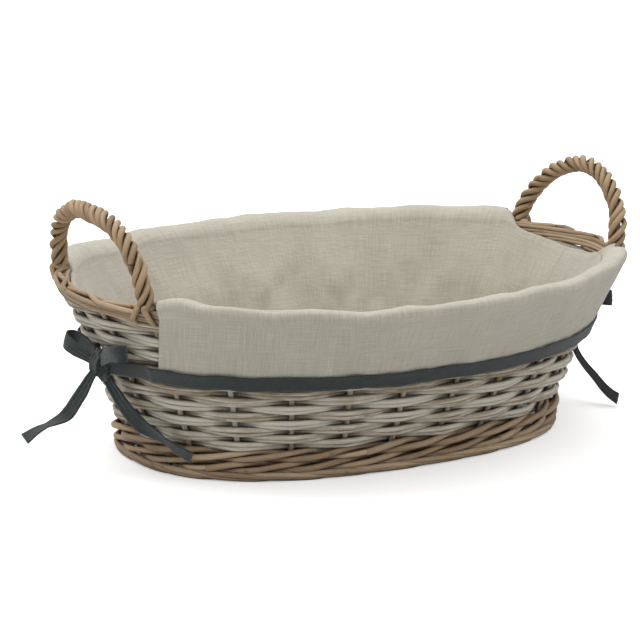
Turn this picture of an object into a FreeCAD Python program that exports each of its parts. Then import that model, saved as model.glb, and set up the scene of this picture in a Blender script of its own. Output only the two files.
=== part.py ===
import FreeCAD
import Part
import Sketcher
import math
import os
from bisect import bisect_right
from functools import lru_cache

Vector = FreeCAD.Vector
UP = Vector(0, 0, 1)
ALONG_X = Vector(1, 0, 0)

# Driving dimensions: millimetres, plain counts, ratios and degrees.
DIMENSIONS = {
    "rim_half_length": (194.0, "outer half length of the wall at fold height"),
    "rim_half_width": (146.3, "outer half width of the wall at fold height"),
    "rim_shift": (2.0, "the rim sits this far towards +X of the foot"),
    "rim_saddle": (4.6, "rise of the rim at both ends"),
    "foot_half_length": (147.2, "outer half length of the wall at the floor"),
    "foot_half_width": (95.3, "outer half width of the wall at the floor"),
    "fold_height": (113.4, "height of the lining's fold over the border"),
    "flare_bow": (0.57, "how much the wall flares late rather than early"),
    "rim_squareness": (2.03, "superellipse power of the rim"),
    "foot_squareness": (2.53, "superellipse power of the foot"),
    "stake_count": (24, "upright stakes round the wall"),
    "stake_diameter": (3.6, "upright stake"),
    "weave_clearance": (0.9, "gap between a woven rod and the upright it passes"),
    "foot_ring_diameter": (5.2, "rod of the foot ring"),
    "foot_ring_flat": (0.5, "depth worn off the underside of the foot ring"),
    "wale_rod_diameter": (3.1, "rod of the bottom waling"),
    "wale_rise": (1.95, "half height of the twist of one waling round"),
    "wale_rounds": (2, "rounds of three-rod waling"),
    "weaver_diameter": (2.4, "rod of the side weave"),
    "weave_pitch": (5.0, "height of one woven row, which is a pair of rods"),
    "weave_rows": (16, "woven rows between waling and border"),
    "border_rod_diameter": (2.9, "rod of the top border"),
    "border_rods_high": (3, "border rods stacked on each side of the stakes"),
    "border_rod_gap": (0.15, "height between two border rods"),
    "base_height": (9.0, "mid height of the woven base"),
    "base_inset": (19.5, "from the wall's outer foot to the outermost base rod"),
    "base_stick_diameter": (7.0, "short cross stick of the base"),
    "base_slot_diameter": (5.2, "slot through a cross stick"),
    "base_long_diameter": (4.2, "long stick threaded through the slots"),
    "base_stick_pitch": (20.0, "from one cross stick to the next"),
    "base_side_sticks": (3, "cross sticks on each side of the middle one"),
    "base_long_pitch": (11.0, "from one long stick to the next"),
    "base_rod_diameter": (2.9, "rod of the base weave"),
    "base_rod_pitch": (3.4, "from one base round to the next"),
    "base_rounds": (16, "rounds of base weave"),
    "row_clearance": (0.6, "height between the waling, the side weave and the border"),
    "left_handle_rise": (44.4, "from the border's top to the top of the left handle core"),
    "right_handle_rise": (42.9, "from the border's top to the top of the right handle core"),
    "left_handle_squareness": (2.4, "superellipse power of the left handle arch"),
    "right_handle_squareness": (1.8, "superellipse power of the right handle arch"),
    "left_handle_lean": (6.0, "outward lean of the left arch"),
    "right_handle_lean": (14.0, "outward lean of the right arch"),
    "handle_core_diameter": (3.4, "handle core in the arch"),
    "handle_leg_diameter": (3.2, "handle core where it is pushed into the wall"),
    "handle_leg_bottom": (45.0, "height of the tip of a handle leg"),
    "handle_strand_diameter": (3.7, "rod roped round the core"),
    "handle_strands": (4, "rods roped round each handle"),
    "handle_strand_lead": (24.0, "length of one full turn of the roping"),
    "handle_strand_gap": (0.6, "from the handle core to the rods roped round it"),
    "lining_thickness": (1.5, "linen, doubled and washed"),
    "lining_floor": (17.2, "height of the underside of the lining"),
    "lining_inset": (13.9, "from the wall's outside to the lining's outside"),
    "lining_floor_inset": (19.0, "the same at the lining's floor"),
    "lining_floor_edge": (1.0, "from the floor panel's edge to the side panels' line"),
    "lining_bend_height": (32.0, "height where the side panels come up against the wall"),
    "lining_middle_height": (60.0, "height of the side panels' middle station"),
    "lining_foot_height": (4.0, "height of the side panels' lowest stretch"),
    "lining_seam": (0.8, "height between the floor panel and the side panels"),
    "lining_top": (108.0, "top of the lining's side panels"),
    "cuff_bottom": (61.5, "lower hem of the cuffs"),
    "cuff_gap": (1.9, "from the wall's outside to the cuff"),
    "cuff_rise": (2.2, "from the border's top to the underside of the fold"),
    "cuff_seam": (0.6, "height between the side panels and the cuffs"),
    "tape_width": (10.2, "binding tape and ties"),
    "tape_thickness": (1.0, "binding tape and ties"),
    "tape_bottom": (60.5, "lower edge of the tape"),
    "tape_gap": (0.5, "from the cuff to the tape"),
    "tie_length": (64.0, "free tail of a tie, past the knot"),
    "loop_length": (30.0, "bow loop"),
    "loop_height": (11.0, "bow loop, from side to side"),
    "knot_diameter": (11.0, "knot of a bow"),
    "knot_length": (15.0, "knot of a bow"),
    "knot_standoff": (8.0, "from the wall's outside to the middle of a knot"),
    "loop_gap": (1.2, "from a knot to the start of a loop"),
    "tie_gap": (1.5, "from a knot to the start of a tie or of the tape"),
}

GAP_POINTS = 4  # control points of a woven rod between one upright and the next
ROUND_POINTS = 8  # control points round a rod
OUTLINE_SAMPLES = 720
PANEL_STATIONS = 24

doc = FreeCAD.newDocument("bread_basket")
parts = []


def make_sheet():
    """Put the driving dimensions in a spreadsheet, one named cell each."""
    sheet = doc.addObject("Spreadsheet::Sheet", "Dimensions")
    for row, (name, (value, note)) in enumerate(DIMENSIONS.items(), start=1):
        sheet.set(f"A{row}", name)
        sheet.set(f"B{row}", str(value))
        sheet.set(f"C{row}", note)
        sheet.setAlias(f"B{row}", name)
    doc.recompute()
    return sheet


sheet = make_sheet()


def size(name):
    """Read one driving dimension from the sheet."""
    return float(getattr(sheet, name))


def count(name):
    """Read one driving count from the sheet."""
    return int(getattr(sheet, name))


# ---------------------------------------------------------------- outlines


class Outline:
    """A level superellipse whose points can be taken at equal shares of its length."""

    def __init__(self, half_length, half_width, squareness):
        self.points = []
        self.normals = []
        self.reached = [0.0]
        for sample in range(OUTLINE_SAMPLES + 1):
            angle = 2 * math.pi * sample / OUTLINE_SAMPLES
            across = abs(math.cos(angle)) / half_length
            deep = abs(math.sin(angle)) / half_width
            reach = (across**squareness + deep**squareness) ** (-1 / squareness)
            point = Vector(reach * math.cos(angle), reach * math.sin(angle), 0)
            normal = Vector(
                math.copysign(across ** (squareness - 1) / half_length, math.cos(angle)),
                math.copysign(deep ** (squareness - 1) / half_width, math.sin(angle)),
                0,
            ).normalize()
            if self.points:
                self.reached.append(self.reached[-1] + (point - self.points[-1]).Length)
            self.points.append(point)
            self.normals.append(normal)
        self.length = self.reached[-1]

    def at(self, turn):
        """Point and outward normal at a share of the length, from +X towards +Y."""
        wanted = (turn % 1.0) * self.length
        index = min(bisect_right(self.reached, wanted) - 1, OUTLINE_SAMPLES - 1)
        step = self.reached[index + 1] - self.reached[index]
        share = (wanted - self.reached[index]) / step
        point = self.points[index] * (1 - share) + self.points[index + 1] * share
        normal = self.normals[index] * (1 - share) + self.normals[index + 1] * share
        return point, normal.normalize()

    def crossings(self, positions, axis):
        """Turns at which the outline passes each position along axis 0 (X) or 1 (Y)."""
        turns = []
        for index in range(OUTLINE_SAMPLES):
            low, high = self.points[index][axis], self.points[index + 1][axis]
            for position in positions:
                if (low <= position) != (high <= position):
                    share = (position - low) / (high - low)
                    step = self.reached[index + 1] - self.reached[index]
                    turns.append((self.reached[index] + share * step) / self.length)
        return turns


@lru_cache(maxsize=None)
def wall_outline(height):
    """Outside of the wall at a height: it flares, more strongly towards the rim."""
    share = height / size("fold_height")
    flare = share - size("flare_bow") * share * (1 - share)
    half_length = size("foot_half_length")
    half_length += (size("rim_half_length") - half_length) * flare
    half_width = size("foot_half_width")
    half_width += (size("rim_half_width") - half_width) * flare
    squareness = size("foot_squareness")
    squareness += (size("rim_squareness") - squareness) * share
    return Outline(half_length, half_width, squareness)


def wall_point(turn, height, offset):
    """Point at a share of the way round, moved outwards by offset from the wall's outside.

    Towards the rim the wall shifts along X and rises at both ends, so a height is a nominal one.
    """
    outline = wall_outline(round(height, 1))
    point, normal = outline.at(turn)
    share = height / size("fold_height")
    rise = size("rim_saddle") * share * (point.x / outline.points[0].x) ** 2
    return point + normal * offset + ALONG_X * (size("rim_shift") * share) + UP * (height + rise)


def ease(value, low, high):
    """0 below low, 1 above high, and a smooth change between them."""
    share = min(max((value - low) / (high - low), 0.0), 1.0)
    return share * share * (3 - 2 * share)


# ---------------------------------------------------------------- wall levels


def passing_reach(rod_diameter):
    """From the middle of an upright to the middle of a rod that passes it."""
    return (size("stake_diameter") + rod_diameter) / 2 + size("weave_clearance")


def level_reach(turn, height, rod_diameter):
    """The same measured level, where the wall and so the upright leans outwards."""
    climb = wall_point(turn, height + 1, 0) - wall_point(turn, height - 1, 0)
    return passing_reach(rod_diameter) * climb.Length / climb.z


def wale_top():
    """Height at which the side weave takes over from the bottom waling."""
    rise = size("wale_rise") + size("wale_rod_diameter") / 2
    return foot_ring_top() + 2 * rise * count("wale_rounds")


def foot_ring_top():
    """Top of the foot ring, whose underside is worn flat on the floor."""
    return size("foot_ring_diameter") - size("foot_ring_flat")


def weave_top():
    """Top of the side weave."""
    return wale_top() + size("weave_pitch") * count("weave_rows") + 2 * size("row_clearance")


def border_top():
    """Top of the border rods."""
    row = size("border_rod_diameter") + size("border_rod_gap")
    return weave_top() + row * count("border_rods_high")


def stake_offset(height):
    """Offset of the stakes' middle line from the wall's outside."""
    wale_reach = passing_reach(size("wale_rod_diameter"))
    wale_line = -(5 / 3 * wale_reach + size("wale_rod_diameter") / 2)
    weave_line = -(passing_reach(size("weaver_diameter")) + size("weaver_diameter") / 2)
    border_line = -(passing_reach(size("border_rod_diameter")) + size("border_rod_diameter") / 2)
    line = wale_line + (weave_line - wale_line) * ease(height, wale_top(), wale_top() + 20)
    return line + (border_line - line) * ease(height, weave_top() - 8, weave_top())


def stake_turns():
    """Shares of the way round at which the stakes stand."""
    return [(index + 0.5) / count("stake_count") for index in range(count("stake_count"))]


# ---------------------------------------------------------------- solids from rods, strips and panels


def spline_shrink(points):
    """How far a cubic spline falls inside its control points on a circle of that many points."""
    return (2 + math.cos(2 * math.pi / points)) / 3


def rod_section(centre, along, reference, radius):
    """Control points of a round section, square to the rod."""
    side = along.cross(reference).normalize()
    other = side.cross(along).normalize()
    reach = radius / spline_shrink(ROUND_POINTS)
    section = []
    for index in range(ROUND_POINTS):
        angle = 2 * math.pi * index / ROUND_POINTS
        section.append(centre + side * (reach * math.cos(angle)) + other * (reach * math.sin(angle)))
    return section


def solid_from(faces):
    """Close faces into a solid that faces outwards, sewing them if there are several."""
    shell = Part.Shell(faces)
    if len(faces) > 1:
        shell.sewShape()
    solid = Part.Solid(shell)
    if solid.Volume < 0:
        solid.reverse()
    return solid


def rod(path, radii, reference, closed=False):
    """Round rod along control points; radii is one radius or one for each point."""
    total = len(path)
    if not isinstance(radii, list):
        radii = [radii] * total
    rows = []
    for index, centre in enumerate(path):
        before = path[index - 1] if closed or index else centre
        after = path[(index + 1) % total] if closed or index < total - 1 else centre
        rows.append(rod_section(centre, after - before, reference, radii[index]))
    if closed:
        repeats = [1] * (total + 1)
    else:
        repeats = [4] + [1] * (total - 4) + [4]
    round_repeats = [1] * (ROUND_POINTS + 1)
    surface = Part.BSplineSurface()
    surface.buildFromPolesMultsKnots(
        rows,
        repeats,
        round_repeats,
        [float(knot) for knot in range(len(repeats))],
        [float(knot) for knot in range(len(round_repeats))],
        closed,
        True,
        3,
        3,
    )
    side = surface.toShape()
    if closed:
        return solid_from([side])
    ends = [edge for edge in side.Edges if edge.isClosed() and edge.Length < 8 * max(radii)]
    return solid_from([side] + [Part.Face(Part.Wire([edge])) for edge in ends])


def strip(stations, width, thickness):
    """Flat strip through stations of centre, direction across and direction outwards."""
    wires = []
    for centre, across, out in stations:
        half = across * (width / 2)
        deep = out * (thickness / 2)
        corners = [centre - half - deep, centre + half - deep, centre + half + deep, centre - half + deep]
        wires.append(Part.makePolygon(corners + corners[:1]))
    return Part.makeLoft(wires, True, False)


def panel(profile, first_turn, last_turn):
    """Sweep a closed profile of (offset, height) corners round part of the wall."""
    wires = []
    for station in range(PANEL_STATIONS + 1):
        turn = first_turn + (last_turn - first_turn) * station / PANEL_STATIONS
        middle, normal = wall_outline(size("tape_bottom")).at(turn)
        corners = []
        for offset, height in profile:
            outside = wall_point(turn, height, 0)
            flare = (outside - middle).dot(normal)
            corners.append(middle + normal * (flare + offset) + UP * outside.z)
        wires.append(Part.makePolygon(corners + corners[:1]))
    return Part.makeLoft(wires, True, False)


def woven_stations(uprights):
    """Turn and phase of each control point of a round that weaves past the uprights."""
    stations = []
    for index, start in enumerate(uprights):
        end = uprights[index + 1] if index + 1 < len(uprights) else uprights[0] + 1
        for point in range(GAP_POINTS):
            share = point / GAP_POINTS
            stations.append((start + (end - start) * share, math.pi * (index + share)))
    return stations


def add_part(name, shape):
    """Add a sub-part made of the given solid or solids."""
    feature = doc.addObject("Part::Feature", name)
    feature.Label = name
    feature.Shape = Part.Compound(shape) if isinstance(shape, list) else shape
    feature.Placement = FreeCAD.Placement()
    parts.append(feature)
    return feature


# ---------------------------------------------------------------- base


def base_outline(inset):
    """Level outline of the base, inset from the wall's foot."""
    return Outline(
        size("foot_half_length") - inset, size("foot_half_width") - inset, size("foot_squareness")
    )


def cross_stick_places():
    """X of each short cross stick."""
    side = count("base_side_sticks")
    return [index * size("base_stick_pitch") for index in range(-side, side + 1)]


def long_stick_places():
    """Y of each long stick."""
    return [index * size("base_long_pitch") for index in (-1, 0, 1)]


def make_base_cross_sticks():
    """Short sticks across the base, slotted where the long sticks are threaded through."""
    sticks = []
    for index, place in enumerate(cross_stick_places()):
        stick = doc.addObject("Part::Cylinder", f"cross_stick_{index}")
        stick.setExpression("Radius", "Dimensions.base_stick_diameter / 2")
        stick.setExpression(
            "Height",
            "2 * (Dimensions.foot_half_width - Dimensions.base_inset + 2) * pow(1 - "
            f"pow({abs(place)} / (Dimensions.foot_half_length - Dimensions.base_inset + 2); "
            "Dimensions.foot_squareness); 1 / Dimensions.foot_squareness)",
        )
        stick.setExpression("Placement.Base.y", "Height / 2")
        stick.setExpression("Placement.Base.z", "Dimensions.base_height")
        stick.Placement = FreeCAD.Placement(Vector(place, 0, 0), FreeCAD.Rotation(ALONG_X, 90))
        sticks.append(stick)
    slots = []
    for index, place in enumerate(long_stick_places()):
        slot = doc.addObject("Part::Cylinder", f"stick_slot_{index}")
        slot.setExpression("Radius", "Dimensions.base_slot_diameter / 2")
        slot.setExpression("Height", "2 * Dimensions.foot_half_length")
        slot.setExpression("Placement.Base.x", "-Height / 2")
        slot.setExpression("Placement.Base.z", "Dimensions.base_height")
        slot.Placement = FreeCAD.Placement(Vector(0, place, 0), FreeCAD.Rotation(Vector(0, 1, 0), 90))
        slots.append(slot)
    all_sticks = doc.addObject("Part::Compound", "cross_stick_rods")
    all_sticks.Links = sticks
    all_slots = doc.addObject("Part::Compound", "cross_stick_slots")
    all_slots.Links = slots
    slotted = doc.addObject("Part::Cut", "base_cross_sticks")
    slotted.Base = all_sticks
    slotted.Tool = all_slots
    slotted.Label = "base_cross_sticks"
    parts.append(slotted)


def make_base_long_sticks():
    """Long sticks along the base, threaded through the cross sticks."""
    sticks = []
    for index, place in enumerate(long_stick_places()):
        stick = doc.addObject("Part::Cylinder", f"long_stick_{index}")
        stick.setExpression("Radius", "Dimensions.base_long_diameter / 2")
        stick.setExpression("Height", "2 * (Dimensions.foot_half_length - Dimensions.base_inset)")
        stick.setExpression("Placement.Base.x", "-Height / 2")
        stick.setExpression("Placement.Base.z", "Dimensions.base_height")
        stick.Placement = FreeCAD.Placement(Vector(0, place, 0), FreeCAD.Rotation(Vector(0, 1, 0), 90))
        sticks.append(stick)
    group = doc.addObject("Part::Compound", "base_long_sticks")
    group.Links = sticks
    group.Label = "base_long_sticks"
    parts.append(group)


def make_base_weave():
    """Rounds of thin rod woven over and under the ends of the base sticks."""
    radius = size("base_rod_diameter") / 2
    swing = size("base_stick_diameter") / 2 + radius + size("weave_clearance")
    swing /= spline_shrink(2 * GAP_POINTS)
    rounds = []
    for index in range(count("base_rounds")):
        outline = base_outline(size("base_inset") + size("base_rod_pitch") * index)
        uprights = outline.crossings(cross_stick_places(), 0)
        uprights += outline.crossings(long_stick_places(), 1)
        uprights.sort()
        path = []
        for turn, phase in woven_stations(uprights):
            lift = swing * math.cos(phase + math.pi * index)
            path.append(outline.at(turn)[0] + UP * (size("base_height") + lift))
        rounds.append(rod(path, radius, UP, closed=True))
    add_part("base_weave", rounds)


# ---------------------------------------------------------------- wall


def make_foot_ring():
    """Thick rod round the foot, worn flat underneath, which the basket stands on."""
    radius = size("foot_ring_diameter") / 2
    height = radius - size("foot_ring_flat")
    path = [wall_point(turn, height, -radius) for turn, _ in woven_stations(stake_turns())]
    ring = rod(path, radius, UP, closed=True)
    above = Part.makeBox(500, 500, 2 * size("foot_ring_diameter"), Vector(-250, -250, 0))
    add_part("foot_ring", ring.common(above).Solids[0])


def make_bottom_wale():
    """Three rods per round, each outside two stakes and inside the third."""
    radius = size("wale_rod_diameter") / 2
    reach = passing_reach(size("wale_rod_diameter")) / spline_shrink(3 * GAP_POINTS)
    rise = size("wale_rise")
    rods = []
    for row in range(count("wale_rounds")):
        middle = foot_ring_top() + (2 * row + 1) * (rise + radius) + size("row_clearance") / 2
        for strand in range(3):
            path = []
            for turn, phase in woven_stations(stake_turns()):
                twist = phase * 2 / 3 + math.pi * (1 / 3 + 2 * strand / 3)
                height = middle + rise * math.sin(twist)
                offset = stake_offset(middle) + reach * (1 / 3 + 4 / 3 * math.cos(twist))
                path.append(wall_point(turn, height, offset))
            rods.append(rod(path, radius, UP, closed=True))
    add_part("bottom_wale", rods)


def make_stakes():
    """Upright stakes from beside the base to the border, or to just below it under a handle foot."""
    low = foot_ring_top() + 2
    steps = 12
    cut_low = [leg_stake(*place) for place in HANDLE_FEET]
    stakes = []
    for turn in stake_turns():
        high = weave_top() if turn in cut_low else border_top() - 1
        path = []
        for step in range(steps + 1):
            height = low + (high - low) * step / steps
            path.append(wall_point(turn, height, stake_offset(height)))
        stakes.append(rod(path, size("stake_diameter") / 2, ALONG_X))
    add_part("stakes", stakes)


def make_side_weave():
    """Rows of paired rods, outside one stake and inside the next, each row opposite to the last."""
    diameter = size("weaver_diameter")
    rods = []
    for row in range(count("weave_rows")):
        middle = wale_top() + size("row_clearance") + (row + 0.5) * size("weave_pitch")
        for side in (-0.25, 0.25):
            height = middle + side * size("weave_pitch")
            path = []
            for turn, phase in woven_stations(stake_turns()):
                reach = level_reach(turn, height, diameter) / spline_shrink(2 * GAP_POINTS)
                offset = stake_offset(height) + reach * math.cos(phase + math.pi * row)
                path.append(wall_point(turn, height, offset))
            rods.append(rod(path, diameter / 2, UP, closed=True))
    add_part("side_weave", rods)


def make_top_border():
    """Border rods laid level inside and outside the tops of the stakes."""
    diameter = size("border_rod_diameter")
    rods = []
    for row in range(count("border_rods_high")):
        height = weave_top() + diameter / 2 + row * (diameter + size("border_rod_gap"))
        for side in (-1, 1):
            path = []
            for turn, _ in woven_stations(stake_turns()):
                reach = level_reach(turn, height, diameter)
                path.append(wall_point(turn, height, stake_offset(height) + side * reach))
            rods.append(rod(path, diameter / 2, UP, closed=True))
    add_part("top_border", rods)


# ---------------------------------------------------------------- handles

# Distance from the middle of an end to each handle foot and to the cuff beside it.
# The keys are the end of the basket, -1 at -X, and the side of that end, -1 towards -Y.
HANDLE_FEET = {(-1, -1): 62.0, (-1, 1): 72.0, (1, -1): 52.0, (1, 1): 58.0}
CUFF_ENDS = {(-1, -1): 70.0, (-1, 1): 82.0, (1, -1): 60.0, (1, 1): 66.0}


def turn_beside(side, end, distance):
    """Share of the way round, at the border, of a place that far from the middle of an end."""
    outline = wall_outline(round(border_top(), 1))
    for turn in outline.crossings([end * distance], 1):
        if outline.at(turn)[0].x * side > 0:
            return turn
    raise ValueError("the place is not on the wall")


def leg_stake(side, end):
    """Share of the way round of the stake that a handle leg stands beside."""
    foot = turn_beside(side, end, HANDLE_FEET[side, end])
    return min(stake_turns(), key=lambda turn: abs(turn - foot))


def leg_path(side, end):
    """Middle line of a handle leg, from its tip in the weave to the foot of the border."""
    beside = (size("stake_diameter") + size("handle_leg_diameter")) / 2 + size("weave_clearance")
    stake = leg_stake(side, end)
    beside = math.copysign(beside, turn_beside(side, end, HANDLE_FEET[side, end]) - stake)
    low = size("handle_leg_bottom")
    path = []
    steps = 8
    for step in range(steps + 1):
        height = low + (weave_top() + 1.5 - low) * step / steps
        turn = stake + beside / wall_outline(round(height, 1)).length
        path.append(wall_point(turn, height, stake_offset(height)))
    return path


def arch_path(side, spacing):
    """Middle line of a handle above the border, as points about spacing apart."""
    foot_height = border_top() + 1
    feet = []
    for end in (-1, 1):
        turn = turn_beside(side, end, HANDLE_FEET[side, end])
        feet.append(wall_point(turn, foot_height, stake_offset(foot_height)))
    middle = (feet[0] + feet[1]) * 0.5
    half = (feet[0] - feet[1]) * 0.5
    label = "left" if side < 0 else "right"
    crown = Vector(side * size(f"{label}_handle_lean"), 0, size(f"{label}_handle_rise"))
    power = 2 / size(f"{label}_handle_squareness")
    fine = []
    steps = 400
    for step in range(steps + 1):
        angle = math.pi * step / steps
        level = math.copysign(abs(math.cos(angle)) ** power, math.cos(angle))
        fine.append(middle + half * level + crown * (math.sin(angle) ** power if 0 < step < steps else 0))
    reached = [0.0]
    for before, after in zip(fine, fine[1:]):
        reached.append(reached[-1] + (after - before).Length)
    pieces = max(4, round(reached[-1] / spacing))
    path = []
    for piece in range(pieces + 1):
        wanted = reached[-1] * piece / pieces
        index = min(bisect_right(reached, wanted) - 1, steps - 1)
        share = (wanted - reached[index]) / (reached[index + 1] - reached[index])
        path.append(fine[index] * (1 - share) + fine[index + 1] * share)
    return path


def make_handle_core(name, side):
    """One thick rod bent to an arch, with both ends sharpened and pushed down beside a stake."""
    arch = arch_path(side, 8.0)
    leg = leg_path(side, -1)
    far_leg = leg_path(side, 1)
    far_leg.reverse()
    thin = size("handle_leg_diameter") / 2
    full = size("handle_core_diameter") / 2
    radii = [thin] * len(leg) + [full] * len(arch) + [thin] * len(far_leg)
    radii[len(leg)] = thin
    radii[len(leg) + len(arch) - 1] = thin
    add_part(name, rod(leg + arch + far_leg, radii, ALONG_X))


def make_handle_wrap(name, side):
    """Rods roped round the handle core from one foot to the other."""
    radius = size("handle_strand_diameter") / 2
    reach = size("handle_core_diameter") / 2 + radius + size("handle_strand_gap")
    lead = size("handle_strand_lead")
    spacing = lead / ROUND_POINTS
    arch = arch_path(side, spacing)[2:-2]
    spacing = sum((after - before).Length for before, after in zip(arch, arch[1:])) / (len(arch) - 1)
    strands = []
    for strand in range(count("handle_strands")):
        path = []
        for index, centre in enumerate(arch):
            along = arch[min(index + 1, len(arch) - 1)] - arch[max(index - 1, 0)]
            beside = along.cross(ALONG_X).normalize()
            other = beside.cross(along).normalize()
            angle = 2 * math.pi * (index * spacing / lead + strand / count("handle_strands"))
            shift = beside * math.cos(angle) - other * math.sin(angle)
            path.append(centre + shift * (reach / spline_shrink(ROUND_POINTS)))
        strands.append(rod(path, radius, ALONG_X))
    add_part(name, strands)


# ---------------------------------------------------------------- lining


def lining_offset(height):
    """Offset of the lining's outside from the wall's outside."""
    floor_inset = size("lining_floor_inset")
    return -(floor_inset + (size("lining_inset") - floor_inset) * ease(
        height, size("lining_floor"), size("lining_bend_height")
    ))


def make_lining_base():
    """Oval floor panel of the lining."""
    outline = Outline(
        size("foot_half_length") - size("lining_floor_inset") - size("lining_floor_edge"),
        size("foot_half_width") - size("lining_floor_inset") - size("lining_floor_edge"),
        size("foot_squareness"),
    )
    points = [outline.at(index / 96)[0] + UP * size("lining_floor") for index in range(96)]
    edge = Part.BSplineCurve()
    edge.interpolate(Points=points, PeriodicFlag=True)
    face = Part.Face(Part.Wire([edge.toShape()]))
    add_part("lining_base", face.extrude(UP * size("lining_thickness")))


def lining_profile():
    """Closed profile of a side panel of the lining."""
    low = size("lining_floor") + size("lining_thickness") + size("lining_seam")
    heights = [
        low,
        low + size("lining_foot_height"),
        size("lining_bend_height"),
        size("lining_middle_height"),
        size("lining_top"),
    ]
    outside = [(lining_offset(height), height) for height in heights]
    inside = [(offset - size("lining_thickness"), height) for offset, height in reversed(outside)]
    return outside + inside


def make_lining_panel(name, first_turn, last_turn):
    """Side panel of the lining, up the inside of the wall."""
    seam = 0.0004
    add_part(name, panel(lining_profile(), first_turn + seam, last_turn - seam))


def cuff_profile():
    """Closed profile of a cuff: from the lining's top over the border and down the outside."""
    thickness = size("lining_thickness")
    inner = -size("lining_inset")
    crest = border_top() + size("cuff_rise")
    gap = size("cuff_gap")
    bottom = size("cuff_bottom")
    above_tape = size("tape_bottom") + size("tape_width") + 1
    under = [
        (inner, size("lining_top") + size("cuff_seam")),
        (inner + 0.6, crest - 0.6),
        (inner + 3.0, crest),
        (-3.0, crest),
        (gap - 0.2, crest - 1.5),
        (gap, crest - 6.0),
        (gap, above_tape),
        (gap, bottom),
    ]
    over = [
        (gap + thickness, bottom),
        (gap + thickness, above_tape),
        (gap + thickness, crest - 5.5),
        (gap + thickness - 0.2, crest - 0.8),
        (-2.4, crest + thickness),
        (inner + 2.4, crest + thickness),
        (inner - thickness + 0.6, crest + 0.2),
        (inner - thickness, size("lining_top") + size("cuff_seam")),
    ]
    return under + over


def tape_stations(first_turn, last_turn):
    """Stations of a tape round the hem: middle, direction across and direction outwards."""
    out_by = size("cuff_gap") + size("lining_thickness") + size("tape_gap") + size("tape_thickness") / 2
    middle = size("tape_bottom") + size("tape_width") / 2
    stations = []
    for station in range(PANEL_STATIONS + 1):
        turn = first_turn + (last_turn - first_turn) * station / PANEL_STATIONS
        centre = wall_point(turn, middle, out_by)
        across = (wall_point(turn, middle + 4, out_by) - wall_point(turn, middle - 4, out_by)).normalize()
        ahead = wall_point(turn + 0.002, middle, out_by) - wall_point(turn - 0.002, middle, out_by)
        stations.append((centre, across, ahead.cross(across).normalize()))
    return stations


def make_tape(name, first_turn, last_turn):
    """Binding tape along a cuff's hem and on round the ends to the knots."""
    add_part(name, strip(tape_stations(first_turn, last_turn), size("tape_width"), size("tape_thickness")))


# ---------------------------------------------------------------- bows

KNOT_TURNS = {-1: 0.512, 1: 0.0}  # share of the way round of the knot at -X and at +X

# Direction of each loop and tail from its knot, as the ribbons were left.
LOOPS = {
    "left_bow_near_loop": (-1, Vector(-7, -36, 22)),
    "left_bow_far_loop": (-1, Vector(-10, 30, 17)),
    "right_bow_near_loop": (1, Vector(19, -25, 4)),
    "right_bow_far_loop": (1, Vector(8, 30, 10)),
}
TAILS = {
    "left_near_tie": (-1, Vector(34, -45, -51)),
    "left_far_tie": (-1, Vector(-47, 15, -47)),
    "right_near_tie": (1, Vector(17, -40, -60)),
    "right_far_tie": (1, Vector(14, 34, -56)),
}


def knot_point(side):
    """Middle of the knot at one end of the basket."""
    middle = size("tape_bottom") + size("tape_width") / 2
    return wall_point(KNOT_TURNS[side], middle, size("knot_standoff"))


def origin_plane(body, role):
    """One of a body's own origin planes."""
    return next(plane for plane in body.Origin.OriginFeatures if plane.Role == role)


def new_body(name, role):
    """Empty body with one sketch on the origin plane of the given role."""
    body = doc.addObject("PartDesign::Body", name)
    body.Label = name
    sketch = body.newObject("Sketcher::SketchObject", f"{name}_outline")
    sketch.AttachmentSupport = [(origin_plane(body, role), "")]
    sketch.MapMode = "FlatFace"
    parts.append(body)
    return body, sketch


def bind(sketch, kind, references, expression):
    """Add a constraint whose value follows an expression."""
    index = sketch.addConstraint(Sketcher.Constraint(kind, *references, 1.0))
    sketch.setExpression(f"Constraints[{index}]", expression)


def make_knot(name, side):
    """Knot of a bow: a short upright barrel with rounded ends."""
    body, sketch = new_body(name, "XY_Plane")
    sketch.addGeometry(Part.Circle(Vector(0, 0, 0), UP, size("knot_diameter") / 2), False)
    sketch.addConstraint(Sketcher.Constraint("Coincident", 0, 3, -1, 1))
    bind(sketch, "Diameter", (0,), "Dimensions.knot_diameter")
    pad = body.newObject("PartDesign::Pad", f"{name}_barrel")
    pad.Profile = sketch
    pad.Midplane = True
    pad.setExpression("Length", "Dimensions.knot_length")
    doc.recompute()
    rims = [f"Edge{index}" for index, edge in enumerate(pad.Shape.Edges, 1) if edge.isClosed()]
    rounding = body.newObject("PartDesign::Fillet", f"{name}_rounding")
    rounding.Base = (pad, rims)
    rounding.setExpression("Radius", "0.3 * Dimensions.knot_diameter")
    body.Placement = FreeCAD.Placement(knot_point(side), FreeCAD.Rotation())


def draw_teardrop(sketch, near_radius, far_radius, reach):
    """Draw a closed teardrop from the origin along X and return the index of its first arc."""
    lean = math.asin((far_radius - near_radius) / reach)
    rise = Vector(-math.sin(lean), math.cos(lean), 0)
    fall = Vector(rise.x, -rise.y, 0)
    far = Vector(reach, 0, 0)
    upper = math.pi / 2 + lean
    near_arc = Part.ArcOfCircle(Part.Circle(Vector(), UP, near_radius), upper, 2 * math.pi - upper)
    far_arc = Part.ArcOfCircle(Part.Circle(far, UP, far_radius), -upper, upper)
    top = Part.LineSegment(rise * near_radius, far + rise * far_radius)
    low = Part.LineSegment(fall * near_radius, far + fall * far_radius)
    first = sketch.addGeometry([near_arc, far_arc, top, low], False)[0]
    for ends in ((0, 1, 2, 1), (2, 2, 1, 2), (0, 2, 3, 1), (3, 2, 1, 1)):
        one, one_end, other, other_end = ends
        sketch.addConstraint(
            Sketcher.Constraint("Tangent", first + one, one_end, first + other, other_end)
        )
    return first


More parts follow.
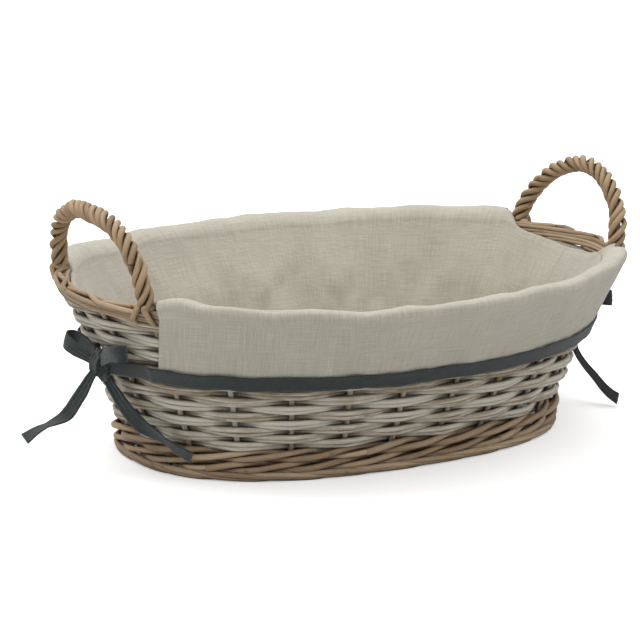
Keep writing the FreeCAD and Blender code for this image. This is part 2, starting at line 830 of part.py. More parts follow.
def make_loop(name, side, direction):
    """Bow loop: ribbon bent back on itself in a teardrop and padded to the ribbon's width."""
    body, sketch = new_body(name, "XZ_Plane")
    near, far = size("tape_thickness") * 1.8, size("loop_height") / 2
    reach = size("loop_length") - near - far
    outer = draw_teardrop(sketch, near, far, reach)
    inner = draw_teardrop(sketch, near - size("tape_thickness"), far - size("tape_thickness"), reach)
    sketch.addConstraint(Sketcher.Constraint("Coincident", outer, 3, -1, 1))
    sketch.addConstraint(Sketcher.Constraint("Coincident", inner, 3, -1, 1))
    sketch.addConstraint(Sketcher.Constraint("PointOnObject", outer + 1, 3, -1))
    sketch.addConstraint(Sketcher.Constraint("Coincident", inner + 1, 3, outer + 1, 3))
    bind(sketch, "Radius", (outer,), "1.8 * Dimensions.tape_thickness")
    bind(sketch, "Radius", (outer + 1,), "Dimensions.loop_height / 2")
    bind(sketch, "Radius", (inner,), "0.8 * Dimensions.tape_thickness")
    bind(sketch, "Radius", (inner + 1,), "Dimensions.loop_height / 2 - Dimensions.tape_thickness")
    bind(
        sketch,
        "DistanceX",
        (outer, 3, outer + 1, 3),
        "Dimensions.loop_length - Dimensions.loop_height / 2 - 1.8 * Dimensions.tape_thickness",
    )
    pad = body.newObject("PartDesign::Pad", f"{name}_ribbon")
    pad.Profile = sketch
    pad.Midplane = True
    pad.setExpression("Length", "Dimensions.tape_width")
    ahead = Vector(direction).normalize()
    start = knot_point(side) + ahead * (size("knot_length") / 2 + near + size("loop_gap"))
    width_across = ahead.cross(ALONG_X).normalize()
    turn = FreeCAD.Rotation(ahead, width_across, Vector(), "XYZ")
    body.Placement = FreeCAD.Placement(start, turn)


def make_tail(name, side, direction):
    """Free tail of a tie: a flat ribbon whose end is cut on a slant."""
    body, sketch = new_body(name, "XY_Plane")
    length, half = size("tie_length"), size("tape_width") / 2
    corners = [
        Vector(0, -half, 0), Vector(length, -half, 0), Vector(length - half, half, 0), Vector(0, half, 0)
    ]
    sides = [Part.LineSegment(corners[i], corners[(i + 1) % 4]) for i in range(4)]
    sketch.addGeometry(sides, False)
    for index in range(4):
        sketch.addConstraint(Sketcher.Constraint("Coincident", index, 2, (index + 1) % 4, 1))
    sketch.addConstraint(Sketcher.Constraint("Horizontal", 0))
    sketch.addConstraint(Sketcher.Constraint("Horizontal", 2))
    sketch.addConstraint(Sketcher.Constraint("Vertical", 3))
    sketch.addConstraint(Sketcher.Constraint("Symmetric", 3, 1, 3, 2, -1, 1))
    bind(sketch, "DistanceY", (3, 2, 3, 1), "Dimensions.tape_width")
    bind(sketch, "DistanceX", (0, 1, 0, 2), "Dimensions.tie_length")
    bind(sketch, "DistanceX", (2, 2, 2, 1), "Dimensions.tie_length - Dimensions.tape_width / 2")
    pad = body.newObject("PartDesign::Pad", f"{name}_ribbon")
    pad.Profile = sketch
    pad.Midplane = True
    pad.setExpression("Length", "Dimensions.tape_thickness")
    ahead = Vector(direction).normalize()
    start = knot_point(side) + ahead * (size("knot_length") / 2 + size("tie_gap"))
    along_wall = Vector(0, -side, 0)
    turn = FreeCAD.Rotation(ahead, along_wall, Vector(), "XYZ")
    body.Placement = FreeCAD.Placement(start, turn)


# ---------------------------------------------------------------- whole basket


def make_basket():
    """Build every sub-part."""
    make_base_cross_sticks()
    make_base_long_sticks()
    make_base_weave()
    make_foot_ring()
    make_bottom_wale()
    make_stakes()
    make_side_weave()
    make_top_border()
    for label, side in (("left", -1), ("right", 1)):
        make_handle_core(f"{label}_handle_core", side)
        make_handle_wrap(f"{label}_handle_wrap", side)
        make_knot(f"{label}_bow_knot", side)
    make_lining_base()
    make_lining_panel("lining_back_panel", 0.0, 0.5)
    make_lining_panel("lining_front_panel", 0.5, 1.0)
    ends = {place: turn_beside(*place, CUFF_ENDS[place]) for place in CUFF_ENDS}
    add_part("back_cuff", panel(cuff_profile(), ends[1, 1], ends[-1, 1]))
    add_part("front_cuff", panel(cuff_profile(), ends[-1, -1], ends[1, -1]))
    beside_knot = (size("knot_diameter") / 2 + size("tie_gap")) / wall_outline(size("tape_bottom")).length
    make_tape("back_tape", KNOT_TURNS[1] + beside_knot, KNOT_TURNS[-1] - beside_knot)
    make_tape("front_tape", KNOT_TURNS[-1] + beside_knot, KNOT_TURNS[1] + 1 - beside_knot)
    for name, (side, direction) in LOOPS.items():
        make_loop(name, side, direction)
    for name, (side, direction) in TAILS.items():
        make_tail(name, side, direction)


def export_parts():
    """Stop on any failed object or bad shape, then write one file per sub-part."""
    doc.recompute()
    for item in doc.Objects:
        if {"Invalid", "Error"} & set(item.State):
            raise SystemExit(f"{item.Name} failed: {item.State}")
    for item in parts:
        if item.Shape.isNull() or not item.Shape.isValid() or item.Shape.Volume <= 0:
            raise SystemExit(f"{item.Label} has a bad shape")
    os.makedirs("parts", exist_ok=True)
    for item in parts:
        item.Shape.exportStep(f"parts/{item.Label}.step")
        print(f"{item.Label}: {len(item.Shape.Solids)} solids, {item.Shape.Volume / 1000:.2f} cm3")


make_basket()
export_parts()
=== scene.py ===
import math

import bmesh
import bpy
import numpy as np
from mathutils import Matrix, Vector, noise


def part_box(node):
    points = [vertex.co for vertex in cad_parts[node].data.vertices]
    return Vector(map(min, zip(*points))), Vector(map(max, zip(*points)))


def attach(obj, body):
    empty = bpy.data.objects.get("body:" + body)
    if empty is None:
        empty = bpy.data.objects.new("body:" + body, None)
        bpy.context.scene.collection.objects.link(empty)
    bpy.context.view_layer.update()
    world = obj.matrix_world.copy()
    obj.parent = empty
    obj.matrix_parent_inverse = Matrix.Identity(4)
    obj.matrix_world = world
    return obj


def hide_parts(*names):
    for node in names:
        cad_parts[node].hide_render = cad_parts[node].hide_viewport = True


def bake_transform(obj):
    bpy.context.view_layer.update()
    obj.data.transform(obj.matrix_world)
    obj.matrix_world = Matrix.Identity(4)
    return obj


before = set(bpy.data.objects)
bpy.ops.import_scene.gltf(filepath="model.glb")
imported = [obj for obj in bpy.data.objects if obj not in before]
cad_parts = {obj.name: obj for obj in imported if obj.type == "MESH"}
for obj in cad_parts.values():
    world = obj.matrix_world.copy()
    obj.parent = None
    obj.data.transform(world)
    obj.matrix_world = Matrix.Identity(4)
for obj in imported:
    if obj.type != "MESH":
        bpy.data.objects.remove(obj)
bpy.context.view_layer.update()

MM = 0.001  # every shape below is worked out in millimetres
random = np.random.default_rng(7)


def cad_span(node, axis):
    """Lowest and highest place of a CAD node along an axis, in millimetres."""
    low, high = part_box(node)
    return low[axis] / MM, high[axis] / MM


# ---------------------------------------------------------------- driving sizes, in millimetres

FOOT_HALF_LENGTH = cad_span("foot_ring", 0)[1]
FOOT_HALF_WIDTH = cad_span("foot_ring", 1)[1]
RIM_HALF_LENGTH, RIM_HALF_WIDTH = 194.0, 146.3
RIM_SHIFT, RIM_SADDLE = 2.0, 4.6  # the rim sits towards +X and rises at both ends
FOLD_HEIGHT = 113.4
FLARE_BOW = 0.57
FOOT_SQUARENESS, RIM_SQUARENESS = 2.4, 2.03
STAKES = 24
STAKE_RADIUS = 1.8
WALE_BOTTOM = cad_span("foot_ring", 2)[1]
WALE_TOP, WEAVE_BOTTOM, WEAVE_TOP, BORDER_TOP = 18.7, 19.3, 99.3, 109.0  # at the middle of a long side
ROWS = 16
ROW_PITCH = (WEAVE_TOP - WEAVE_BOTTOM) / ROWS
WALE_LINE, WEAVE_LINE, BORDER_LINE = -8.0, -4.8, -4.7  # stakes' offset from the wall's outside
TAPE_LOW, TAPE_HIGH = 60.5, 70.7
# For each end of the basket, -1 at -X, and each side of it, -1 towards -Y: from the end's middle line
# to a handle foot and to the end of a cuff.
HANDLE_FEET = {(-1, -1): 62.0, (-1, 1): 72.0, (1, -1): 52.0, (1, 1): 58.0}
CUFF_ENDS = {(-1, -1): 70.0, (-1, 1): 82.0, (1, -1): 60.0, (1, 1): 66.0}
HANDLE_RISE = {-1: 44.4, 1: 42.9}
HANDLE_SQUARENESS = {-1: 2.4, 1: 1.8}
HANDLE_LEAN = {-1: 6.0, 1: 14.0}
UP = np.array([0.0, 0.0, 1.0])


# ---------------------------------------------------------------- the wall's outline

TABLE_TURNS = 960
TABLE_HEIGHTS = np.arange(-6.0, 126.0, 2.0)


def level_outline(height):
    """Points and outward normals at equal shares of the way round the wall at a height."""
    share = height / FOLD_HEIGHT
    flare = share - FLARE_BOW * share * (1 - share)
    half_length = FOOT_HALF_LENGTH + (RIM_HALF_LENGTH - FOOT_HALF_LENGTH) * flare
    half_width = FOOT_HALF_WIDTH + (RIM_HALF_WIDTH - FOOT_HALF_WIDTH) * flare
    power = FOOT_SQUARENESS + (RIM_SQUARENESS - FOOT_SQUARENESS) * share
    return superellipse(half_length, half_width, power, TABLE_TURNS)


def superellipse(half_length, half_width, power, count):
    """Points and normals of a level superellipse at equal shares of its length, from +X to +Y."""
    angle = np.linspace(0, 2 * np.pi, 4 * count + 1)
    cos, sin = np.cos(angle), np.sin(angle)
    reach = (np.abs(cos / half_length) ** power + np.abs(sin / half_width) ** power) ** (-1 / power)
    x, y = reach * cos, reach * sin
    along = np.concatenate([[0], np.cumsum(np.hypot(np.diff(x), np.diff(y)))])
    wanted = np.arange(count + 1) / count * along[-1]
    x, y = np.interp(wanted, along, x), np.interp(wanted, along, y)
    normal_x = np.sign(x) * np.abs(x / half_length) ** (power - 1) / half_length
    normal_y = np.sign(y) * np.abs(y / half_width) ** (power - 1) / half_width
    size = np.hypot(normal_x, normal_y)
    return np.stack([x, y, normal_x / size, normal_y / size], -1)


WALL_TABLE = np.stack([level_outline(height) for height in TABLE_HEIGHTS])


def wall_sample(turn, height):
    """Interpolated outline point and normal."""
    turn, height = np.broadcast_arrays(np.asarray(turn, float), np.asarray(height, float))
    column = (turn % 1.0) * TABLE_TURNS
    left = np.minimum(column.astype(int), TABLE_TURNS - 1)
    across = (column - left)[..., None]
    step = TABLE_HEIGHTS[1] - TABLE_HEIGHTS[0]
    row = np.clip((height - TABLE_HEIGHTS[0]) / step, 0, len(TABLE_HEIGHTS) - 1.001)
    low = row.astype(int)
    upward = (row - low)[..., None]
    below = WALL_TABLE[low, left] * (1 - across) + WALL_TABLE[low, left + 1] * across
    above = WALL_TABLE[low + 1, left] * (1 - across) + WALL_TABLE[low + 1, left + 1] * across
    return below * (1 - upward) + above * upward


def wall_point(turn, height, offset):
    """Points at a share of the way round and a height, moved outwards from the wall's outside."""
    turn, height, offset = np.broadcast_arrays(*(np.asarray(value, float) for value in (turn, height, offset)))
    sample = wall_sample(turn, height)
    normal = sample[..., 2:] / np.linalg.norm(sample[..., 2:], axis=-1, keepdims=True)
    flat = sample[..., :2] + normal * offset[..., None]
    share = height / FOLD_HEIGHT
    rise = RIM_SADDLE * share * (sample[..., 0] / wall_sample(0.0, height)[..., 0]) ** 2
    return np.stack([flat[..., 0] + RIM_SHIFT * share, flat[..., 1], height + rise], -1)


def reached_along(path):
    """Length along a path up to each of its points."""
    return np.concatenate([[0], np.cumsum(np.linalg.norm(np.diff(path, axis=0), axis=1))])


def wall_length(height):
    """Length of the way round at a height."""
    return reached_along(wall_point(np.linspace(0, 1, 241), height, 0.0))[-1]


def ease(value, low, high):
    """0 below low, 1 above high, smooth between."""
    share = np.clip((np.asarray(value, float) - low) / (high - low), 0, 1)
    return share * share * (3 - 2 * share)


def stake_offset(height):
    """Offset of the stakes' middle line from the wall's outside."""
    line = WALE_LINE + (WEAVE_LINE - WALE_LINE) * ease(height, WALE_TOP, WALE_TOP + 20)
    return line + (BORDER_LINE - line) * ease(height, WEAVE_TOP - 8, WEAVE_TOP)


def turn_at(side, end, distance):
    """Turn of the place on the border that far from the middle line of the +X or -X end."""
    turns = np.linspace(0, 1, 4800, endpoint=False)
    points = wall_point(turns, BORDER_TOP, 0.0)
    miss = np.abs(points[:, 1] - end * distance) + 1e3 * (points[:, 0] * side < 0)
    return turns[miss.argmin()]


def wander(count, waves, size):
    """Smooth random line of the given number of samples, about waves bumps long and size high."""
    knots = random.normal(0, 1, waves + 3)
    place = np.linspace(0, waves, count)
    index = place.astype(int)
    share = place - index
    share = share * share * (3 - 2 * share)
    return size * (knots[index] * (1 - share) + knots[index + 1] * share)


# ---------------------------------------------------------------- meshes


TIP_SHARE = 0.55  # radius of a rounded rod end, as a share of the rod's
CAP_BULGE = 0.3  # how far a rod's end stands out in the middle, as a share of its radius
GRAIN_SHIFT = 997.0  # sets each rod's grain apart from the others'


class MeshPile:
    """Collects vertices, faces and point attributes for one mesh."""

    def __init__(self):
        self.points, self.faces, self.grain, self.tint = [], [], [], []
        self.total = 0

    def add(self, points, faces, grain, tint):
        self.points.append(points)
        self.faces += [tuple(np.asarray(face) + self.total) for face in faces]
        self.grain.append(grain)
        self.tint.append(np.broadcast_to(tint, len(points)))
        self.total += len(points)

    def object(self, name, material):
        mesh = bpy.data.meshes.new(name)
        mesh.from_pydata((np.concatenate(self.points) * MM).tolist(), [], self.faces)
        grain = mesh.attributes.new("grain", "FLOAT_VECTOR", "POINT")
        grain.data.foreach_set("vector", np.concatenate(self.grain).astype(np.float32).ravel())
        tint = mesh.attributes.new("tint", "FLOAT", "POINT")
        tint.data.foreach_set("value", np.concatenate(self.tint).astype(np.float32))
        mesh.polygons.foreach_set("use_smooth", [True] * len(mesh.polygons))
        mesh.materials.append(material)
        mesh.validate()
        mesh.update()
        return place_in_scene(name, mesh)


def place_in_scene(name, data):
    """New object in the scene."""
    thing = bpy.data.objects.new(name, data)
    bpy.context.scene.collection.objects.link(thing)
    return thing


def grid_faces(rows, columns):
    """Quads of a grid of points stored row by row, with the last column joined to the first."""
    faces = []
    for row in range(rows - 1):
        here, below = row * columns, (row + 1) * columns
        for column in range(columns):
            right = (column + 1) % columns
            faces.append((here + column, below + column, below + right, here + right))
    return faces


def stacked(*parts):
    """Vectors from coordinates that may be numbers or arrays."""
    return np.stack(np.broadcast_arrays(*parts), -1)


def unit(vectors):
    """The same vectors at length 1."""
    return vectors / np.maximum(np.linalg.norm(vectors, axis=-1, keepdims=True), 1e-9)


def add_rod(pile, path, radius, reference, sides=10, round_ends=False, seed=None):
    """Add a round rod with closed ends; its first corner faces square to the reference direction."""
    path = np.asarray(path, float)
    count = len(path)
    radius = np.broadcast_to(np.asarray(radius, float), count).copy()
    along = unit(np.gradient(path, axis=0))
    side = unit(np.cross(along, np.broadcast_to(reference, path.shape)))
    other = np.cross(side, along)
    if round_ends:
        radius[[0, -1]] *= TIP_SHARE
    angle = np.linspace(0, 2 * np.pi, sides, endpoint=False)
    ring = side[:, None] * np.cos(angle)[None, :, None] + other[:, None] * np.sin(angle)[None, :, None]
    points = path[:, None] + ring * radius[:, None, None]
    reached = reached_along(path)
    seed = random.uniform(0, 1) if seed is None else seed
    own = seed * GRAIN_SHIFT
    grain = stacked(reached[:, None] + own, np.cos(angle), np.sin(angle))
    grain = np.concatenate([grain.reshape(-1, 3), [[own, 0, 0], [reached[-1] + own, 0, 0]]])
    faces = grid_faces(count, sides)
    last = count * sides
    bulge = along * (radius * CAP_BULGE)[:, None]
    caps = np.stack([path[0] - bulge[0], path[-1] + bulge[-1]])
    for index in range(sides):
        after = (index + 1) % sides
        faces.append((last, index, after))
        faces.append((last + 1, last - sides + after, last - sides + index))
    pile.add(np.concatenate([points.reshape(-1, 3), caps]), faces, grain, seed)


# ---------------------------------------------------------------- materials


class Nodes:
    """Short way to write a material's nodes."""

    def __init__(self, name):
        self.material = bpy.data.materials.new(name)
        self.material.use_nodes = True
        self.tree = self.material.node_tree
        self.shader = self.tree.nodes["Principled BSDF"]

    def add(self, kind, inputs=None, **settings):
        node = self.tree.nodes.new(kind)
        for key, value in settings.items():
            setattr(node, key, value)
        for key, value in (inputs or {}).items():
            self.put(node.inputs[key], value)
        return node

    def put(self, socket, value):
        if isinstance(value, bpy.types.NodeSocket):
            self.tree.links.new(value, socket)
        else:
            socket.default_value = value

    def attribute(self, name, output):
        return self.add("ShaderNodeAttribute", attribute_name=name).outputs[output]

    def scaled(self, vector, scale):
        return self.add("ShaderNodeVectorMath", {0: vector, 1: scale}, operation="MULTIPLY").outputs[0]

    def noise(self, vector, scale=1.0, detail=3.0, rough=0.6, output="Fac"):
        inputs = {"Vector": vector, "Scale": scale, "Detail": detail, "Roughness": rough}
        return self.add("ShaderNodeTexNoise", inputs).outputs[output]

    def math(self, operation, first, second=0.0, clamp=False):
        node = self.add("ShaderNodeMath", operation=operation, use_clamp=clamp)
        self.put(node.inputs[0], first)
        self.put(node.inputs[1], second)
        return node.outputs[0]

    def between(self, value, low, high, to_low=0.0, to_high=1.0):
        inputs = {"Value": value, "From Min": low, "From Max": high, "To Min": to_low, "To Max": to_high}
        return self.add("ShaderNodeMapRange", inputs).outputs["Result"]

    def mix(self, share, first, second, blend="MIX"):
        node = self.add("ShaderNodeMix", data_type="RGBA", blend_type=blend)
        self.put(node.inputs["Factor"], share)
        self.put(node.inputs["A"], first)
        self.put(node.inputs["B"], second)
        return node.outputs["Result"]

    def bump(self, height, distance, strength=1.0):
        inputs = {"Height": height, "Distance": distance, "Strength": strength}
        return self.add("ShaderNodeBump", inputs).outputs["Normal"]

    def finish(self, color, roughness, normal=None, sheen=0.0, specular=0.4):
        self.put(self.shader.inputs["Base Color"], color)
        self.put(self.shader.inputs["Roughness"], roughness)
        self.put(self.shader.inputs["Specular IOR Level"], specular)
        if normal is not None:
            self.put(self.shader.inputs["Normal"], normal)
        if sheen:
            self.put(self.shader.inputs["Sheen Weight"], sheen)
            self.put(self.shader.inputs["Sheen Roughness"], 0.5)
        return self.material


def linear(red, green, blue, alpha=1.0):
    """Linear colour from 0 to 255 display values."""
    parts = []
    for value in (red, green, blue):
        value /= 255
        parts.append(value / 12.92 if value <= 0.04045 else ((value + 0.055) / 1.055) ** 2.4)
    return (*parts, alpha)


def willow(name, light, dark, wash=None, wash_share=0.0):
    """Willow rod: streaks along the grain, tone from rod to rod, dark nodes, an optional wash, and painted shade that
    darkens the rod where other rods lie close.
    """
    nodes = Nodes(name)
    grain = nodes.attribute("grain", "Vector")
    tint = nodes.attribute("tint", "Fac")
    streaks = nodes.noise(nodes.scaled(grain, (0.05, 2.2, 2.2)), detail=5.0, rough=0.7)
    patches = nodes.noise(nodes.scaled(grain, (0.035, 0.35, 0.35)), detail=2.0)
    fine = nodes.noise(nodes.scaled(grain, (0.35, 5.0, 5.0)), detail=3.0)
    tone = nodes.math("ADD", nodes.math("MULTIPLY", streaks, 0.65), nodes.math("MULTIPLY", patches, 0.55))
    tone = nodes.math("ADD", tone, nodes.math("MULTIPLY", tint, 0.45))
    color = nodes.mix(nodes.between(tone, 0.35, 1.15), dark, light)
    knots = nodes.between(nodes.noise(nodes.scaled(grain, (0.09, 0.5, 0.5)), detail=1.0), 0.66, 0.76)
    color = nodes.mix(nodes.math("MULTIPLY", knots, 0.45), color, tuple(c * 0.35 for c in dark[:3]) + (1.0,))
    if wash:
        worn = nodes.noise(nodes.scaled(grain, (0.06, 0.9, 0.9)), detail=4.0, rough=0.65)
        worn = nodes.math("ADD", worn, nodes.math("MULTIPLY", nodes.math("SUBTRACT", tint, 0.5), 0.35))
        cover = nodes.math("MULTIPLY", nodes.between(worn, 0.36, 0.56), wash_share)
        color = nodes.mix(cover, color, wash)
    # painted shade: where ambient occlusion finds other rods within 6 mm, in the weave's gaps and crossings, the
    # colour is mixed towards dark brown
    painted_crevice_shade = nodes.add("ShaderNodeAmbientOcclusion", {"Distance": 0.006}, samples=6).outputs["AO"]
    color = nodes.mix(nodes.between(painted_crevice_shade, 0.15, 0.85, 0.72, 0.0), color, linear(48, 36, 24))
    relief = nodes.math("ADD", nodes.math("MULTIPLY", streaks, 0.7), nodes.math("MULTIPLY", fine, 0.5))
    normal = nodes.bump(relief, 0.0006, 0.8)
    roughness = nodes.between(streaks, 0.3, 0.7, 0.5, 0.72)
    return nodes.finish(color, roughness, normal, specular=0.35)


def linen(name, light, dark):
    """Undyed linen: plain weave of slubby threads, with a soft change of tone over the cloth and painted shade in the
    gaps between threads.
    """
    nodes = Nodes(name)
    cloth = nodes.attribute("grain", "Vector")
    warp_slub = nodes.noise(nodes.scaled(cloth, (1.6, 0.05, 1.0)), detail=4.0, rough=0.7)
    weft_slub = nodes.noise(nodes.scaled(cloth, (0.05, 1.6, 1.0)), detail=4.0, rough=0.7)
    wobble = nodes.scaled(nodes.noise(cloth, 0.4, output="Color"), (0.5, 0.5, 0.0))
    threads = nodes.add("ShaderNodeVectorMath", {0: cloth, 1: wobble}, operation="ADD").outputs[0]
    warp, weft = (
        nodes.add("ShaderNodeTexWave", {"Vector": threads, "Scale": 0.42}, bands_direction=way).outputs["Fac"]
        for way in "XY"
    )
    weave = nodes.math("MULTIPLY", warp, weft)
    slubs = nodes.math("ADD", warp_slub, weft_slub)
    tone = nodes.between(slubs, 0.75, 1.3)
    blotch = nodes.noise(cloth, 0.02, detail=2.0)
    tone, blotch = nodes.math("MULTIPLY", tone, 0.75), nodes.math("MULTIPLY", blotch, 0.35)
    tone = nodes.math("ADD", tone, blotch, clamp=True)
    color = nodes.mix(tone, dark, light)
    # painted shade: where the weave pattern is low, in the gaps between threads, the colour is darkened towards a
    # deeper tone of the linen
    painted_thread_gap_shade = nodes.between(weave, 0.0, 0.25, 0.30, 0.0)
    color = nodes.mix(painted_thread_gap_shade, color, tuple(c * 0.55 for c in dark[:3]) + (1.0,))
    relief = nodes.math("ADD", nodes.math("MULTIPLY", weave, 0.5), nodes.math("MULTIPLY", slubs, 0.6))
    return nodes.finish(color, 0.92, nodes.bump(relief, 0.0005, 0.8), sheen=0.25, specular=0.15)


def cotton_tape(name, color, light):
    """Slate cotton tape: close twill across the ribbon and pale lint on the high threads."""
    nodes = Nodes(name)
    cloth = nodes.attribute("grain", "Vector")
    twill = nodes.add(
        "ShaderNodeTexWave", {"Vector": cloth, "Scale": 0.55, "Distortion": 0.6}, bands_direction="DIAGONAL"
    ).outputs["Fac"]
    lint = nodes.noise(nodes.scaled(cloth, (0.9, 0.35, 1.0)), detail=5.0, rough=0.75)
    tone = nodes.math("ADD", nodes.math("MULTIPLY", twill, 0.3), nodes.between(lint, 0.4, 0.8, 0.0, 0.7))
    color = nodes.mix(tone, color, light)
    relief = nodes.math("ADD", twill, lint)
    return nodes.finish(color, 0.85, nodes.bump(relief, 0.0003, 0.7), sheen=0.3, specular=0.2)


WILLOW_TAN = willow("willow_tan", linear(192, 168, 139), linear(118, 94, 69))
WILLOW_GREY = willow(
    "willow_grey", linear(184, 171, 146), linear(128, 111, 88), wash=linear(203, 198, 184), wash_share=0.95
)
WILLOW_HANDLE = willow("willow_handle", linear(184, 158, 124), linear(104, 80, 54))
WILLOW_BASE = willow("willow_base", linear(190, 168, 136), linear(128, 104, 74))
LINEN = linen("linen", linear(212, 208, 194), linear(165, 159, 142))
TAPE = cotton_tape("slate_tape", linear(32, 40, 39), linear(62, 71, 70))
THREAD = cotton_tape("sewing_thread", linear(52, 60, 62), linear(96, 105, 106))


# ---------------------------------------------------------------- willow wall


def stake_phase(turn):
    """Half turns of the weave: a whole number at each stake."""
    return np.pi * (STAKES * turn - 0.5)


def swing(phase):
    """Wave from 1 outside a stake to -1 inside it, straighter between the stakes than a cosine."""
    return np.arcsin(0.9 * np.cos(phase)) / math.asin(0.9)


WEAVER_RADIUS = 1.68
TIP_THIN = 0.7  # radius at a weaving rod's tips, as a share of its middle's


def taper(count):
    """Radius shares of a rod that thins towards both tips."""
    place = np.linspace(0, 1, count)
    return TIP_THIN + (1 - TIP_THIN) * ease(np.minimum(place, 1 - place), 0, 0.06)


def woven_rod(pile, row, lift, start, length, radius, tone):
    """One rod of a row, outside one stake and inside the next."""
    count = int(length * STAKES * 12) + 1
    turn = start + np.linspace(0, length, count)
    phase = stake_phase(turn) + np.pi * row
    wave = swing(phase)
    spread = 1.08 + 0.24 * wave**2
    height = WEAVE_BOTTOM + (row + 0.5) * ROW_PITCH + lift * spread
    height = height + wander(count, int(length * 40) + 2, 0.16)
    reach = STAKE_RADIUS + radius + 0.12
    offset = stake_offset(height) + reach * wave + wander(count, int(length * 60) + 2, 0.14)
    offset = np.minimum(offset, 0.75 - radius)
    path = wall_point(turn, height, offset)
    add_rod(pile, path, radius * taper(count), UP, sides=9, round_ends=True, seed=tone + 0.04 * lift)


def build_side_weave():
    """Rows of paired rods; each rod goes about once round, with its tips tucked behind stakes."""
    pieces = []
    for part in range(4):
        pile = MeshPile()
        for row in range(part * ROWS // 4, (part + 1) * ROWS // 4):
            tone = random.uniform(0.1, 0.9)
            for lift in (-1, 1):
                cut = (int(random.integers(0, STAKES)) + 0.5 + (row % 2)) / STAKES
                middle = 0.42 + random.uniform(-0.08, 0.08)
                middle = round(middle * STAKES) / STAKES
                tuck = 0.25 / STAKES
                for start, length in ((cut, middle), (cut + middle, 1 - middle)):
                    radius = WEAVER_RADIUS * random.uniform(0.94, 1.06)
                    woven_rod(pile, row, lift, start - tuck, length + 2 * tuck, radius, tone)
        pieces.append(pile.object(f"weave_rods_{part + 1}", WILLOW_GREY))
    return pieces


def build_stakes():
    """Upright stakes with slightly uneven bark and cut tips."""
    pile = MeshPile()
    for index in range(STAKES):
        height = np.linspace(WALE_BOTTOM + 1, BORDER_TOP - 3.6, 60)
        turn = (index + 0.5) / STAKES + wander(60, 5, 0.0003)
        path = wall_point(turn, height, stake_offset(height) + wander(60, 6, 0.12))
        radius = (STAKE_RADIUS - 0.05) * (1 + wander(60, 9, 0.03))
        add_rod(pile, path, radius, [1, 0, 0])
    return pile.object("stake_rods", WILLOW_GREY)


WALE_ROUNDS = 2
WALE_ROD_RADIUS = 1.95
WALE_ROD_REACH = 1.8  # from a stake's side to the middle of a waling rod
WALE_RISE = 2.45  # half height of the twist of one round


def build_wale():
    """Two rounds of three thick rods, each outside two stakes and inside the third, with cut butts."""
    pile = MeshPile()
    tall = (WALE_TOP - WALE_BOTTOM) / WALE_ROUNDS
    starts = [0.06, 0.31, 0.58, 0.83]  # turns of the rods' thick ends, before each strand's slip
    for row in range(WALE_ROUNDS):
        middle = WALE_BOTTOM + (row + 0.5) * tall + 0.25
        for strand in range(3):
            slip = (3 * row + strand) * 0.037
            for start, end in zip(starts, starts[1:] + [starts[0] + 1]):
                one_wale_rod(pile, middle, strand, start + slip, end + slip)
    return pile.object("wale_rods", WILLOW_TAN)


def one_wale_rod(pile, middle, strand, start, end):
    """One length of a waling rod; its thick butt shows outside and its tip is tucked inside."""
    period = 3.0 / STAKES
    ahead = (strand + 0.9) * period / 3
    start = round((start - ahead) / period) * period + ahead
    end = round((end - ahead) / period) * period + ahead
    count = int((end - start) * STAKES * 12) + 1
    turn = np.linspace(start, end + 0.35 / STAKES, count)
    twist = stake_phase(turn) * 2 / 3 + np.pi * (1 / 3 + 2 * strand / 3)
    place = np.linspace(0, 1, count)
    radius = WALE_ROD_RADIUS * (1.06 - 0.2 * place) * (1 + wander(count, 12, 0.03))
    height = middle + WALE_RISE * np.sin(twist) + wander(count, 14, 0.2)
    reach = STAKE_RADIUS + WALE_ROD_REACH
    offset = stake_offset(middle) + reach * (1 / 3 + 4 / 3 * np.cos(twist))
    offset = np.minimum(offset, 0.4 - radius * 0.4) + 0.3
    path = wall_point(turn, height, offset)
    add_rod(pile, path, radius, UP, sides=12)


FOOT_ROD_RADIUS = 2.0


def build_foot_ring():
    """Foot ring: thick rods laid one behind the next, each sinking to the floor as it runs on."""
    pile = MeshPile()
    count = 80
    place = np.linspace(0, 1, count)
    for index in range(STAKES):
        turn = (index + 0.1) / STAKES + place * random.uniform(3.0, 3.3) / STAKES
        radius = FOOT_ROD_RADIUS * (1.06 - 0.26 * place) * random.uniform(0.94, 1.06)
        height = np.maximum(5.2 - 3.4 * ease(place, 0.0, 0.9), radius + 0.02)
        offset = -5.2 + 3.4 * ease(place, 0.0, 0.35) - 2.6 * ease(place, 0.86, 1.0) + wander(count, 6, 0.15)
        add_rod(pile, wall_point(turn, height, offset), radius, UP, round_ends=True)
    return pile.object("foot_rods", WILLOW_TAN)


BORDER_RUN = 4.2  # stakes that a laid-down border rod runs past
BORDER_REACH = 3.05  # from the stakes' middle line to the border rods'


def build_border():
    """Each stake's end is laid down behind the next and runs on along the outside, slowly falling."""
    pile = MeshPile()
    gap = 1.0 / STAKES
    for index in range(STAKES):
        first = (index + 0.5) * gap
        for side, fall in ((1, 8.2), (-1, 7.6)):
            count = 72
            place = np.linspace(0, 1, count)
            start = first - 0.35 * gap + (0.5 * gap if side < 0 else 0.0)
            turn = start + place * BORDER_RUN * gap
            rise = BORDER_TOP - 1.5 - fall * place**0.92 + wander(count, 5, 0.25)
            cross = ease(place, 0.0, 0.13) * (1 - 0.75 * ease(place, 0.93, 1.0))
            offset = stake_offset(rise) + side * BORDER_REACH * (2 * cross - 1 if side > 0 else cross)
            offset = offset + wander(count, 6, 0.18)
            rise = rise + 0.7 * np.exp(-(((place - 0.06) / 0.05) ** 2)) * (side > 0)
            radius = 1.62 * (1.04 - 0.28 * place) * random.uniform(0.94, 1.06)
            path = wall_point(turn, rise, np.minimum(offset, -1.25))
            add_rod(pile, path, radius, UP, sides=9, round_ends=True)
    return pile.object("border_rods", WILLOW_TAN)


# ---------------------------------------------------------------- roped handles


